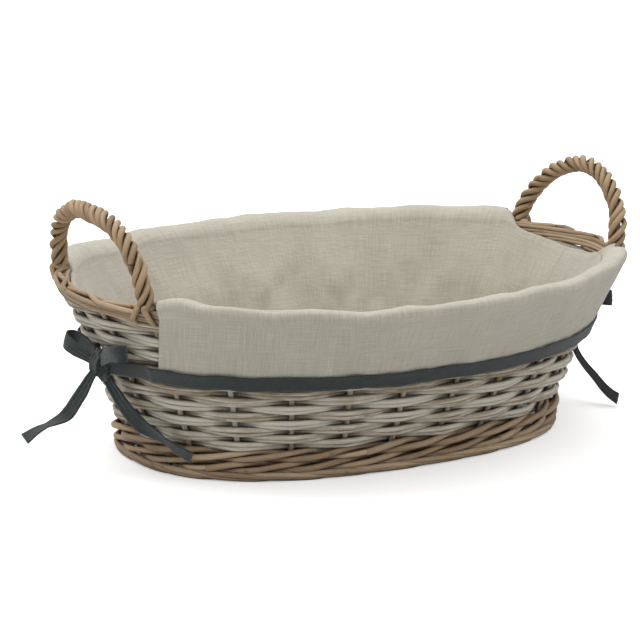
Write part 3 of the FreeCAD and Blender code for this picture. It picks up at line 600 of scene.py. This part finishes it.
def arch_line(side, count):
    """Middle line of a handle from its front foot to its back foot."""
    feet = []
    for end in (-1, 1):
        feet.append(wall_point(turn_at(side, end, HANDLE_FEET[side, end]), BORDER_TOP + 1, BORDER_LINE))
    middle = (feet[0] + feet[1]) / 2
    half = (feet[0] - feet[1]) / 2
    crown = np.array([side * HANDLE_LEAN[side], 0.0, HANDLE_RISE[side]])
    angle = np.linspace(0, np.pi, 4001)
    power = 2 / HANDLE_SQUARENESS[side]
    level = np.sign(np.cos(angle)) * np.abs(np.cos(angle)) ** power
    fine = middle + half * level[:, None] + crown * (np.clip(np.sin(angle), 0, 1) ** power)[:, None]
    return resample(fine, count)


def resample(path, count):
    """The same path with points at equal distances."""
    path = np.asarray(path, float)
    reached = reached_along(path)
    wanted = np.linspace(0, reached[-1], count)
    return np.stack([np.interp(wanted, reached, path[:, axis]) for axis in range(3)], -1)


def curve_through(points, count):
    """Smooth path through a few points."""
    points = np.asarray(points, float)
    padded = np.concatenate([[2 * points[0] - points[1]], points, [2 * points[-1] - points[-2]]])
    pieces = []
    for index in range(len(points) - 1):
        before, start, end, after = padded[index:index + 4]
        share = np.linspace(0, 1, 24, endpoint=index == len(points) - 2)[:, None]
        pieces.append(
            0.5 * (
                2 * start + (end - before) * share + (2 * before - 5 * start + 4 * end - after) * share**2
                + (3 * start - before - 3 * end + after) * share**3
            )
        )
    return resample(np.concatenate(pieces), count)


def steady_frames(path):
    """Two directions square to a path that twist as little as they can."""
    along = unit(np.gradient(path, axis=0))
    side = np.zeros_like(path)
    side[0] = unit(np.cross(along[0], [0.3, 1.0, 0.1]))
    for index in range(1, len(path)):
        carried = side[index - 1] - along[index] * (side[index - 1] @ along[index])
        side[index] = unit(carried)
    return side, np.cross(along, side)


ROPE_STRANDS = 4
ROPE_LEAD = 31.0  # length of one full turn of the roping
ROPE_REACH = 3.8  # from the middle of the core to the middle of a strand
CORE_RADIUS, STRAND_RADIUS = 1.9, 1.98


def build_handle(label, side):
    """Four rods roped round a core, whose ends splay over the border at both feet."""
    count = 420
    arch = arch_line(side, count)
    length = reached_along(arch)[-1]
    across, other = steady_frames(arch)
    pile = MeshPile()
    add_rod(pile, arch, CORE_RADIUS, [1, 0, 0])
    for strand in range(ROPE_STRANDS):
        place = np.linspace(0, 1, count)
        angle = 2 * np.pi * (place * length / ROPE_LEAD + strand / ROPE_STRANDS) + wander(count, 9, 0.16)
        reach = ROPE_REACH + wander(count, 12, 0.25)
        shift = across * np.cos(angle)[:, None] + other * np.sin(angle)[:, None]
        rope = arch + shift * reach[:, None]
        path = np.concatenate([foot_tuck(rope[:3][::-1], side, -1, strand)[::-1], rope,
                               foot_tuck(rope[-3:], side, 1, strand)])
        path = resample(path, len(path))
        radius = STRAND_RADIUS * (1 + wander(len(path), 16, 0.05)) * (0.94 + 0.03 * strand)
        place = np.linspace(0, 1, len(path))
        radius = radius * (0.72 + 0.28 * ease(np.minimum(place, 1 - place), 0.0, 0.09))
        add_rod(pile, path, radius, UP, round_ends=True)
    return pile.object(f"{label}_handle_rods", WILLOW_HANDLE)


def foot_tuck(last, side, end, strand):
    """Path of a strand past the foot: it parts round the border and is tucked into the weave."""
    start = last[-1]
    heading = unit(last[-1] - last[0])
    towards_middle = -side * end
    turn = turn_at(side, end, HANDLE_FEET[side, end])
    outside = strand % 2 == 0
    step = (0.0085 if strand < 2 else -0.0035) * towards_middle
    offset = 1.7 if outside else BORDER_LINE
    stops = [
        start,
        start + heading * 2.5,
        wall_point(turn + step * 0.35, BORDER_TOP + 0.3, 0.3 if outside else BORDER_LINE),
        wall_point(turn + step * 0.7, BORDER_TOP - 4, offset),
        wall_point(turn + step * 1.0, WEAVE_TOP + 2.5, offset * 0.9),
        wall_point(turn + step * 1.1, WEAVE_TOP - 1, -2.0 if outside else BORDER_LINE),
        wall_point(turn + step * 1.2, WEAVE_TOP - 4, BORDER_LINE),
    ]
    return curve_through(stops, 60)[1:]


# ---------------------------------------------------------------- woven base


BASE_PITCH, BASE_ROUNDS = 3.4, 16
BASE_ROD_RADIUS, CROSS_STICK_RADIUS, LONG_STICK_RADIUS = 1.5, 3.45, 2.1
BASE_LIFT = 4.6  # rise of a base rod over a stick
CROSS_STICKS = np.arange(-3, 4) * 20.0
LONG_STICKS = np.arange(-1, 2) * 11.0


def build_base():
    """Rounds of thin rod over and under the base's sticks."""
    middle = sum(cad_span("base_weave", 2)) / 2
    reach_x, reach_y = (cad_span("base_weave", axis)[1] - BASE_ROD_RADIUS for axis in (0, 1))
    pile = MeshPile()
    count = 640
    for ring in range(BASE_ROUNDS):
        inset = ring * BASE_PITCH
        outline = superellipse(reach_x - inset, reach_y - inset, FOOT_SQUARENESS, count)
        turn = np.linspace(0, 1, count + 1)
        crossed = []
        for axis, places in ((0, CROSS_STICKS), (1, LONG_STICKS)):
            for place in places:
                crossed += turn[1:][np.diff(outline[:, axis] > place + 0.01)].tolist()
        crossed.sort()
        phase = np.interp(turn, [crossed[-1] - 1, *crossed, crossed[0] + 1], np.arange(-1, len(crossed) + 1))
        lift = BASE_LIFT * np.cos(np.pi * (phase + ring))
        path = stacked(outline[:, 0], outline[:, 1], middle + lift)
        path = path + np.stack([wander(count + 1, 40, 0.1) for _ in range(3)], -1)
        add_rod(pile, path, BASE_ROD_RADIUS * random.uniform(0.93, 1.05), UP, sides=8)
    return pile.object("base_rods", WILLOW_BASE)


def build_base_sticks():
    """Short sticks across the base and the long ones threaded through them."""
    middle = sum(cad_span("base_weave", 2)) / 2
    reach_x, reach_y = cad_span("base_long_sticks", 0)[1], cad_span("base_cross_sticks", 1)[1]
    across, along = MeshPile(), MeshPile()
    for place in CROSS_STICKS:
        half = reach_y * (1 - (abs(place) / (reach_x + 2)) ** FOOT_SQUARENESS) ** (1 / FOOT_SQUARENESS)
        path = stacked(place + wander(60, 4, 0.3), np.linspace(-half, half, 60), middle)
        add_rod(across, path, CROSS_STICK_RADIUS * (1 + wander(60, 9, 0.03)), UP, sides=14)
    for place in LONG_STICKS:
        path = stacked(np.linspace(-reach_x, reach_x, 90), place + wander(90, 5, 0.3), middle)
        add_rod(along, path, LONG_STICK_RADIUS * (1 + wander(90, 9, 0.03)), UP, sides=12)
    return across.object("base_cross_rods", WILLOW_BASE), along.object("base_long_rods", WILLOW_BASE)


# ---------------------------------------------------------------- cloth


def folds(points, scale, octaves=3):
    """Smooth noise at points in millimetres; scale is the size of a fold along X, Y and Z."""
    scaled = np.asarray(points, float) / np.asarray(scale, float)
    shape = scaled.shape[:-1]
    flat = scaled.reshape(-1, 3)
    values = [noise.fractal(Vector(point), 0.9, 2.1, octaves) for point in flat]
    return np.array(values).reshape(shape)


def cloth_object(name, grid, along, across, material, keep):
    """Cloth from a grid of points (rows down the cloth, columns round it), thickened where kept."""
    rows, columns = grid.shape[:2]
    faces = [face for face in grid_faces(rows, columns) if all(keep.reshape(-1)[list(face)])]
    grain = stacked(across, along, 0.0).reshape(-1, 3)
    pile = MeshPile()
    pile.add(grid.reshape(-1, 3), faces, grain, 0.0)
    piece = pile.object(name, material)
    tidy = bmesh.new()
    tidy.from_mesh(piece.data)
    bmesh.ops.delete(tidy, geom=[vert for vert in tidy.verts if not vert.link_faces], context="VERTS")
    bmesh.ops.recalc_face_normals(tidy, faces=tidy.faces)
    tidy.to_mesh(piece.data)
    tidy.free()
    solid = piece.modifiers.new("thickness", "SOLIDIFY")
    solid.thickness = CLOTH_THICKNESS * MM
    solid.offset = 0
    return piece


CLOTH_COLUMNS = 720
CLOTH_THICKNESS = 1.2
CUFF_SLANT = 16.0  # how much nearer to the handle's middle a cuff ends at its hem than at the border
CUFF_HEM = 62.0
SIDE_HEM = 6.5  # width of the turned edge at a cuff's ends
LINING_FLOOR = 19.0
FLOOR_REACH = 95.0  # from the middle of the floor to its edge, along the cloth


def end_gap(turns):
    """How far a turn is inside the gap that the cuffs leave at a handle; negative under a cuff."""
    point = wall_point(turns, BORDER_TOP, 0.0)
    gap = np.full(turns.shape, -1e4)
    for (side, end), reach in CUFF_ENDS.items():
        corner = (point[:, 0] * side > 80) & (point[:, 1] * end >= 0)
        gap[corner] = reach - np.abs(point[corner, 1])
    return gap


def end_sag(turns):
    """Depth to which the lining's edge sags between the legs of a handle, more at the +X end."""
    point = wall_point(turns, BORDER_TOP, 0.0)
    reach = np.abs(point[:, 1]) + end_gap(turns) - 5.0
    between = np.clip(1 - (point[:, 1] / reach) ** 2, 0, 1) ** 0.7 * (end_gap(turns) > 0)
    return between * np.where(point[:, 0] > 0, 9.0, 6.0)


def cuff_slant(turns, gap, share):
    """Turns of a row of the cuffs, whose ends run towards the handles' middle on the way down."""
    towards_middle = -np.sign(np.sin(4 * np.pi * turns))
    return turns + towards_middle * CUFF_SLANT * share * np.exp(np.minimum(gap, 0) / 60) / wall_length(90)


def lining_columns():
    """Turns of the cloth's columns, with a column exactly at each end of each cuff."""
    turns = np.arange(CLOTH_COLUMNS) / CLOTH_COLUMNS
    for (side, end), reach in CUFF_ENDS.items():
        exact = turn_at(side, end, reach)
        turns[np.abs(turns - exact).argmin()] = exact
    return turns


def lining_inner_offset(height):
    """Offset of the cloth inside the basket from the wall's outside."""
    return -18.6 + 5.2 * ease(height, 18, 40) + 1.6 * ease(height, 70, 106)


def fold_profile():
    """Offset and height of points over the rolled fold, from the lining's top to the cuff's top."""
    stops = [
        (-12.0, 107.2), (-11.1, 110.4), (-8.4, 112.8), (-4.2, 113.6), (-0.8, 112.7), (1.5, 110.0), (1.9, 106.8)
    ]
    return curve_through([(offset, 0.0, height) for offset, height in stops], 17)[:, [0, 2]]


def build_lining():
    """Bag of linen: floor, wall, rolled fold over the border and cuffs down to the tape."""
    turns = lining_columns()
    full = np.ones(CLOTH_COLUMNS)
    gap = end_gap(turns)
    bare = ease(gap, -1.0, 12.0)
    cuff_columns = gap <= 0.01
    top = 106.5 - end_sag(turns) * bare
    rows, leans, keeps, along = [], [], [], []

    def add_row(points, lean, keep, reached):
        rows.append(points)
        leans.append(lean)
        keeps.append(keep)
        along.append(reached * full)

    edge = wall_point(turns, LINING_FLOOR * full, -20.5 * full)
    for share in np.linspace(0.02, 0.98, 26):
        add_row(edge * [share, share, 1], 0.0 * full, full > 0, share * FLOOR_REACH)
    for share in np.linspace(0, 1, 46):
        height = LINING_FLOOR + 1 + (top - LINING_FLOOR - 1) * share
        offset = lining_inner_offset(height) - 2.0 * math.exp(-share * 14) - 0.8 * bare * share
        add_row(wall_point(turns, height, offset), -full, full > 0, FLOOR_REACH + 4 + share * 88)
    droop = 3.2 * np.exp(np.minimum(gap, 0) / 14) * ((turns > 0.75) & (gap < 1))
    droop -= 4.2 * np.exp(-(((gap + 11) / 9) ** 2)) * ((turns > 0.5) & (turns < 0.75))
    hem = 0.55 * (1 - ease(-gap, SIDE_HEM - 0.8, SIDE_HEM + 0.8)) * (gap < 0.01)
    profile = fold_profile()
    for step, (offset, height) in enumerate(profile):
        rolled = min(step / 7, 1.0)
        bare_offset = -12.6 + 1.4 * (1 - math.cos(1.15 * math.pi * rolled))
        bare_height = top + 1.5 * math.sin(1.15 * math.pi * rolled)
        points = wall_point(
            turns, (height - droop) * (1 - bare) + bare_height * bare, offset * (1 - bare) + bare_offset * bare
        )
        lean = 2 * step / (len(profile) - 1) - 1
        keep = full > 0 if step < 8 else cuff_columns
        add_row(points, lean * full * (1 - bare) - bare, keep, FLOOR_REACH + 93 + step * 1.9)
    for share in np.linspace(0.03, 1, 30):
        height = 105.4 + (CUFF_HEM - 105.4) * share
        offset = 1.7 + 0.3 * math.sin(math.pi * share) - 0.3 * share + hem
        points = wall_point(cuff_slant(turns, gap, share), height, offset)
        add_row(points, full, cuff_columns, FLOOR_REACH + 125 + share * 44)

    grid, lean = np.stack(rows), np.stack(leans)[..., None]
    level = wall_point(turns, 60 * full, full) - wall_point(turns, 60 * full, 0 * full)
    facing = level[None] * np.sin(lean * np.pi / 2) + UP * np.cos(lean * np.pi / 2)
    near_top = ease(grid[..., 2], 62, 102)
    calm = 1 - np.maximum(0.75 * bare[None, :], 0.7 * (lean[..., 0] < -0.3)) * near_top
    grid = grid + facing * (calm * wrinkles(grid, lean[..., 0]))[..., None]
    grid[..., 2] += wavy_edge(grid, turns)
    around = turns[None, :] * wall_length(90)
    return cloth_object("lining_cloth", grid, np.stack(along), around, LINEN, np.stack(keeps))


def wrinkles(points, lean):
    """Height of the cloth's wrinkles: soft folds, upright creases and a few sharp ridges."""
    soft = folds(points, (40, 40, 75), 3)
    upright = folds(points + 31.0, (16, 16, 110), 2)
    ridge = np.clip(1 - np.abs(folds(points + 77.0, (34, 34, 46), 2)) * 6, 0, 1) ** 2
    inside = np.clip(-lean, 0, 1)
    outside = np.clip(lean, 0, 1)
    top = 1 - inside - outside
    floor = top * (points[..., 2] < 40)
    drape = folds(points + 53.0, (21, 21, 190), 2)
    inner = np.clip(1.6 * soft + 1.2 * upright + 3.4 * drape, -1.2, 4.0)
    outer = np.clip(0.8 * soft + 0.5 * upright + 0.45 * ridge + 0.2, -0.1, 1.3)
    flat = 1.6 * folds(points + 11.0, (60, 60, 60), 3) + 0.8 * ridge
    rolled = 0.6 * soft + 0.3 * upright
    return inner * inside + outer * outside + np.where(floor > 0, flat * floor, rolled * top)


def wavy_edge(points, turns):
    """Rise and fall of the fold along the rim."""
    level = points * [1, 1, 0]
    wave = 2.0 * folds(level + 5.0, (40, 40, 40), 2) + 0.3 * folds(level + 3.0, (14, 14, 14), 2)
    return np.clip(wave, -2.2, 2.0) * ease(points[..., 2], 92, 110)


# ---------------------------------------------------------------- tape, bows and ties


def add_ribbon(pile, path, across, width, curl, ripple=0.0, thickness=0.9):
    """Flat ribbon along a path; curl cups it and ripple gives it lengthwise creases."""
    path = np.asarray(path, float)
    count = len(path)
    along = unit(np.gradient(path, axis=0))
    across = unit(across - along * np.sum(across * along, axis=-1, keepdims=True))
    normal = np.cross(along, across)
    width = np.broadcast_to(np.asarray(width, float), count)
    curl = np.broadcast_to(np.asarray(curl, float), count)
    ripple = np.broadcast_to(np.asarray(ripple, float), count)
    place = np.linspace(-1, 1, 13)
    lift = curl[:, None] * place**2 + ripple[:, None] * np.cos(place * 3 * np.pi)
    half = np.where(np.abs(place) > 0.99, 0.30, 0.5) * thickness
    sides = []
    for sign, order in ((1, slice(None)), (-1, slice(None, None, -1))):
        reach = (place * 0.5)[None, order] * width[:, None]
        height = (lift + sign * half)[:, order]
        sides.append(path[:, None] + across[:, None] * reach[..., None] + normal[:, None] * height[..., None])
    points = np.concatenate(sides, axis=1)
    columns = points.shape[1]
    faces = grid_faces(count, columns)
    last = (count - 1) * columns
    middle = len(place)
    for index in range(middle - 1):
        pair = (index, index + 1, columns - 2 - index, columns - 1 - index)
        faces.append(pair[::-1])
        faces.append(tuple(last + corner for corner in pair))
    reached = reached_along(path)
    spread = np.concatenate([place, place[::-1]])
    grain = stacked(reached[:, None], spread[None, :] * width[:, None] / 2, 0.0)
    pile.add(points.reshape(-1, 3), faces, grain.reshape(-1, 3), 0.0)


TAPE_WIDTH = TAPE_HIGH - TAPE_LOW
TAPE_MIDDLE = (TAPE_HIGH + TAPE_LOW) / 2
KNOT = {
    side: np.array([(low + high) / 2 / MM for low, high in zip(*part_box(f"{label}_bow_knot"))])
    for side, label in ((-1, "left"), (1, "right"))
}
KNOT_TURN = {-1: 0.512, 1: 0.0}


def tape_offset(turns, lift):
    """Offset of the tape: on the cuff, then down on to the weave, then up to the knots."""
    gap = end_gap(turns)
    on_cuff = 1 - ease(gap, CUFF_SLANT - 1, CUFF_SLANT + 5)
    near = []
    for side in (-1, 1):
        away = np.abs((turns - KNOT_TURN[side] + 0.5) % 1.0 - 0.5) * wall_length(TAPE_MIDDLE)
        near.append(1 - ease(away, 4.0, 26.0))
    return 1.6 + lift * on_cuff + 5.2 * np.maximum(*near)


def build_tape(label, first, last):
    """Tape sewn along a cuff's hem and drawn on round the ends to both knots."""
    count = 900
    turns = np.linspace(first, last, count)
    wobble = wander(count, 60, 0.25)
    height = TAPE_MIDDLE + wobble
    offset = tape_offset(turns, 2.2) + 0.35 * folds(wall_point(turns, height, 0 * turns), (22, 22, 22), 2)
    path = wall_point(turns, height, np.maximum(offset, 1.2))
    above = wall_point(turns, height + 4, offset) - path
    pile = MeshPile()
    add_ribbon(pile, path, above, TAPE_WIDTH + wander(count, 70, 0.18), wander(count, 40, 0.25), thickness=0.95)
    piece = pile.object(f"{label}_tape_ribbon", TAPE)
    return piece, stitches(label, turns, height, offset)


def stitches(label, turns, height, offset):
    """Two lines of machine stitches that hold the tape to the cuff."""
    pile = MeshPile()
    length = wall_length(TAPE_MIDDLE)
    pitch, long = 3.0, 2.1
    sewn = np.nonzero(end_gap(turns) < CUFF_SLANT - 3)[0]
    low, high = turns[sewn[0]], turns[sewn[-1]]
    for level in (-1, 1):
        for start in np.arange(low, high, pitch / length):
            share = np.linspace(0, long / length, 5)
            spot = start + share
            rise = np.interp(spot, turns, height) + level * (TAPE_WIDTH / 2 - 1.3)
            out = np.interp(spot, turns, offset) + 0.42 + 0.16 * np.sin(np.linspace(0, np.pi, 5))
            add_rod(pile, wall_point(spot, rise, out), 0.17, UP, sides=5, round_ends=True, seed=0.5)
    return pile.object(f"{label}_stitches", THREAD)


def knot_mesh(label, side):
    """Knot: a creased lump of ribbon under one turn of ribbon drawn tight round its front."""
    centre = KNOT[side]
    out = np.array([side * 1.0, 0.0, 0.0])
    beside = np.cross(UP, out)
    pile = MeshPile()
    rings, sides = 26, 36
    for offset_z, tall, wide, deep, tilt in ((1.5, 7.6, 8.6, 5.0, 0.25), (-2.5, 6.6, 9.2, 4.4, -0.35)):
        polar = np.linspace(0.02, np.pi - 0.02, rings)[:, None]
        turn = np.linspace(0, 2 * np.pi, sides, endpoint=False)[None, :]
        direction = stacked(np.sin(polar) * np.cos(turn), np.sin(polar) * np.sin(turn), np.cos(polar))
        lump = 1 + 0.22 * folds(direction * 10 + 40 * side, (7, 7, 11), 3)
        lump = lump + 0.06 * np.cos(7 * turn + 2.5 * np.cos(polar * 2))
        local = direction * lump[..., None] * [wide, deep, tall]
        local = np.stack(
            [local[..., 0] * math.cos(tilt) - local[..., 2] * math.sin(tilt), local[..., 1],
             local[..., 0] * math.sin(tilt) + local[..., 2] * math.cos(tilt)], -1
        )
        points = (
            centre + beside * local[..., :1] + out * (local[..., 1:2] - 0.6) + UP * (local[..., 2:] + offset_z)
        )
        grain = np.stack([local[..., 0], local[..., 2], 0 * local[..., 0]], -1)
        pile.add(points.reshape(-1, 3), grid_faces(rings, sides), grain.reshape(-1, 3), 0.0)
    angle = np.linspace(-2.3, 2.3, 60)
    band = (
        centre + out[None] * (5.3 * np.cos(angle) - 0.4)[:, None] + UP * (7.6 * np.sin(angle))[:, None]
        + beside[None] * (1.6 * np.sin(angle) + 0.6)[:, None]
    )
    add_ribbon(pile, band, np.broadcast_to(beside, band.shape), 10.4 - 1.2 * np.cos(angle), -0.7, 0.42)
    return pile.object(f"{label}_knot", TAPE)


def build_ribbon_piece(name, points, acrosses, widths, count, curl=None):
    """Ribbon through a few stations of place, direction across and width; without curl, cupped at its start."""
    path = curve_through(points, count)
    place = np.linspace(0, 1, count)
    stations = np.linspace(0, 1, len(acrosses))
    acrosses = np.asarray(acrosses, float)
    across = np.stack([np.interp(place, stations, acrosses[:, axis]) for axis in range(3)], -1)
    width = np.interp(place, np.linspace(0, 1, len(widths)), widths)
    curls = np.interp(place, [0, 0.12, 0.3, 1], [1.1, 0.8, 0.3, 0.2]) if curl is None else curl
    ripples = np.interp(place, [0, 0.15, 0.4, 1], [0.45, 0.3, 0.08, 0.03])
    shake = np.stack([wander(count, 6, 0.25) for _ in range(3)], -1) * ease(place, 0.02, 0.2)[:, None]
    pile = MeshPile()
    add_ribbon(pile, path + shake, across, width, curls, ripples)
    return pile.object(name, TAPE)


def bow_loop(name, side, reach, open_by, lift):
    """Loop of a bow, from the knot out to its fold and back to the knot."""
    centre = KNOT[side]
    out = np.array([side * 1.0, 0.0, 0.0])
    reach = np.asarray(reach, float)
    ahead = reach / np.linalg.norm(reach)
    length = np.linalg.norm(reach)
    apart = unit(out - ahead * (out @ ahead))
    across = np.cross(ahead, apart)
    stops, widths = [], []
    there, back = (0.05, 0.3, 0.62, 0.9, 1.0), (0.9, 0.62, 0.3, 0.05)
    spreads = (0.15, 0.62, 1.0, 0.85, 0.05, -0.75, -0.85, -0.5, -0.1)
    for place, spread in zip(there + back, spreads):
        sway = lift * place * (1 - place) * 4
        stops.append(centre + ahead * length * place + apart * (open_by / 2 * spread + 1.0) + UP * sway)
        widths.append(5.4 if place < 0.1 else 8.4 if place < 0.4 else TAPE_WIDTH - 0.4)
    acrosses = [across + 0.18 * math.sin(i * 1.7) * apart for i in range(len(stops))]
    return build_ribbon_piece(name, stops, acrosses, widths, 150, curl=0.25)


def tie_tail(name, side, drops, acrosses, widths):
    """Free tail of a tie: hangs from the knot, turning over on its way, to a slanted cut end."""
    centre = KNOT[side]
    stops = [centre + np.array(drop, float) for drop in drops]
    piece = build_ribbon_piece(name, stops, acrosses, widths, 130)
    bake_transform(piece)
    return piece


def build_ties():
    """The four free tails, two at each knot."""
    return {
        "left_near_tie": tie_tail(
            "left_near_tail", -1,
            [(0, -2, -4), (2, -5, -9), (8, -13.5, -22.6), (14, -23, -34), (23, -35, -41.5), (34, -50, -51)],
            [(0.3, -0.9, 0.3), (0.4, -0.8, 0.5), (0.5, -0.7, 0.5), (-0.2, -0.8, 0.4), (0.1, -0.8, 0.6)],
            [6.5, 9.0, 9.8, TAPE_WIDTH, TAPE_WIDTH],
        ),
        "left_far_tie": tie_tail(
            "left_far_tail", -1,
            [(-3, 1, -4), (-7, 2, -9), (-14.5, 4, -21.5), (-22.5, 7, -31.5), (-37, 11, -38.5), (-46, 13, -43.5)],
            [(0.2, -0.95, -0.1), (0.35, -0.9, -0.2), (0.3, -0.9, -0.3), (-0.3, -0.9, 0.0), (-0.1, -0.85, -0.4)],
            [6.5, 9.0, 9.8, TAPE_WIDTH, TAPE_WIDTH],
        ),
        "right_near_tie": tie_tail(
            "right_near_tail", 1,
            [(2, -1, -4), (4, -1, -18), (6, -1, -34), (8, -9, -44), (11, -20, -52.5), (14, -30, -60), (16, -36, -63)],
            [(0, -1, -0.1), (-0.1, -0.9, 0.2), (-0.2, -0.85, 0.45), (-0.15, -0.85, 0.5), (-0.05, -0.8, 0.6)],
            [5.5, 8.5, 9.0, 9.5, TAPE_WIDTH],
        ),
        "right_far_tie": tie_tail(
            "right_far_tail", 1,
            [(2, 2, -4), (2, 9, -16), (4, 18, -30), (9, 26, -44), (13, 33, -55)],
            [(0, 1, 0.2), (0, 1, -0.3), (0.3, 0.8, -0.5), (-0.2, 0.9, -0.2), (0.2, 0.9, -0.4)],
            [5.5, 8.5, TAPE_WIDTH, TAPE_WIDTH, TAPE_WIDTH, TAPE_WIDTH],
        ),
    }


# ---------------------------------------------------------------- assembly


def put(piece, body, slot, *nodes):
    """Let a piece ride on a body and stand for CAD nodes; the slot is not used."""
    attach(piece, body)
    if nodes:
        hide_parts(*nodes)



def build_basket():
    """Everything made of willow."""
    for index, piece in enumerate(build_side_weave()):
        put(piece, "basket", "willow_grey", *(["side_weave"] if index == 0 else []))
    put(build_stakes(), "basket", "willow_grey", "stakes")
    put(build_wale(), "basket", "willow_natural", "bottom_wale")
    put(build_foot_ring(), "basket", "willow_natural", "foot_ring")
    put(build_border(), "basket", "willow_natural", "top_border")
    for side, label in ((-1, "left"), (1, "right")):
        handle = build_handle(label, side)
        put(handle, "basket", "willow_handle", f"{label}_handle_wrap", f"{label}_handle_core")
    put(build_base(), "basket", "willow_base", "base_weave")
    across, along = build_base_sticks()
    put(across, "basket", "willow_base", "base_cross_sticks")
    put(along, "basket", "willow_base", "base_long_sticks")


def build_cloth():
    """Everything sewn."""
    lining = build_lining()
    put(lining, "lining", "linen", "lining_base", "lining_back_panel", "lining_front_panel", "back_cuff",
        "front_cuff")
    for label, first, last in (("back", 0.006, 0.506), ("front", 0.518, 0.994)):
        ribbon, sewn = build_tape(label, first, last)
        put(ribbon, "lining", "slate_tape", f"{label}_tape")
        put(sewn, "lining", "slate_tape")
    for side, label in ((-1, "left"), (1, "right")):
        put(knot_mesh(label, side), "lining", "slate_tape", f"{label}_bow_knot")
    loops = {
        "left_bow_near": (-1, (-1, -35, 14), 9.0, 3.0),
        "left_bow_far": (-1, (-8, 28, 13), 10.0, 1.0),
        "right_bow_near": (1, (16, -26, 3), 8.0, 2.0),
        "right_bow_far": (1, (8, 32, 11), 9.0, 3.0),
    }
    for name, (side, reach, open_by, lift) in loops.items():
        put(bow_loop(f"{name}_ribbon", side, reach, open_by, lift), "lining", "slate_tape", f"{name}_loop")
    for node, piece in build_ties().items():
        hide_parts(node)


# ---------------------------------------------------------------- room


def make_camera():
    """Camera at the view of the finished picture: in front, to the left and a little above."""
    data = bpy.data.cameras.new("camera")
    data.sensor_width = 36.0
    data.lens = 174.6
    data.shift_x, data.shift_y = -0.0286, 0.174
    data.clip_start, data.clip_end = 0.05, 20.0
    camera = place_in_scene("camera", data)
    azimuth, elevation, distance = math.radians(-30.74), math.radians(15.44), 1.9912
    back = Vector(
        (math.sin(azimuth) * math.cos(elevation), -math.cos(azimuth) * math.cos(elevation), math.sin(elevation))
    )
    camera.location = back * distance
    turn = back.to_track_quat("Z", "Y").to_matrix() @ Matrix.Rotation(math.radians(0.46), 3, "Z")
    camera.rotation_euler = turn.to_euler()
    bpy.context.scene.camera = camera


def area_light(name, place, size, power):
    """Soft light that points at the middle of the basket."""
    data = bpy.data.lights.new(name, "AREA")
    data.shape, data.size, data.energy = "DISK", size, power
    lamp = place_in_scene(name, data)
    lamp.location = place
    lamp.rotation_euler = (Vector(place) - Vector((0, 0, 0.06))).to_track_quat("Z", "Y").to_euler()


def make_room():
    """White floor, which glows for the camera outside the foot's outline as painted light over the basket's cast
    shadow, pale surroundings and soft lights.
    """
    nodes = Nodes("floor")
    # painted light: camera rays outside the foot's outline see the floor at 0.9 with added emission, so it glows and
    # hides the basket's cast shadow; camera rays under the foot, and all bounced light, see the plain 0.62 floor
    painted_floor_glow = nodes.add("ShaderNodeLightPath").outputs["Is Camera Ray"]
    place = nodes.add("ShaderNodeNewGeometry").outputs["Position"]
    place = nodes.scaled(place, (1 / (FOOT_HALF_LENGTH * MM), 1 / (FOOT_HALF_WIDTH * MM), 1.0))
    reach = nodes.add("ShaderNodeVectorMath", {0: place}, operation="LENGTH").outputs["Value"]
    painted_floor_glow = nodes.math("MULTIPLY", painted_floor_glow, nodes.between(reach, 0.9, 1.0))
    nodes.finish(nodes.mix(painted_floor_glow, (0.62, 0.62, 0.62, 1), (0.9, 0.9, 0.9, 1)), 0.9, specular=0.1)
    nodes.put(nodes.shader.inputs["Emission Color"], (1, 1, 1, 1))
    nodes.put(nodes.shader.inputs["Emission Strength"], nodes.math("MULTIPLY", painted_floor_glow, 0.35))
    bpy.ops.mesh.primitive_plane_add(size=30, location=(0, 0, 0))
    floor = bpy.context.object
    floor.name = "floor"
    floor.data.materials.append(nodes.material)
    world = bpy.data.worlds.new("room")
    world.use_nodes = True
    tree = world.node_tree
    place = tree.nodes.new("ShaderNodeTexCoord")
    split = tree.nodes.new("ShaderNodeSeparateXYZ")
    height = tree.nodes.new("ShaderNodeMapRange")
    height.inputs["To Min"].default_value = 0.32
    height.inputs["To Max"].default_value = 1.35
    tree.links.new(place.outputs["Generated"], split.inputs[0])
    tree.links.new(split.outputs["Z"], height.inputs["Value"])
    looked_at = tree.nodes.new("ShaderNodeLightPath")
    strength = tree.nodes.new("ShaderNodeMath")
    strength.operation = "MAXIMUM"
    tree.links.new(height.outputs["Result"], strength.inputs[0])
    tree.links.new(looked_at.outputs["Is Camera Ray"], strength.inputs[1])
    tree.links.new(strength.outputs[0], tree.nodes["Background"].inputs["Strength"])
    tree.nodes["Background"].inputs["Color"].default_value = (1, 1, 1, 1)
    scene = bpy.context.scene
    scene.world = world
    scene.view_settings.view_transform = "Standard"
    area_light("key", (-0.8, 0.5, 2.0), 1.2, 14)
    area_light("top", (0.5, 0.9, 2.1), 1.6, 14)
    area_light("right", (1.6, -1.3, 1.3), 1.4, 3)
    area_light("front", (-0.9, -1.8, 1.2), 1.6, 2.5)


build_basket()
build_cloth()
make_camera()
make_room()
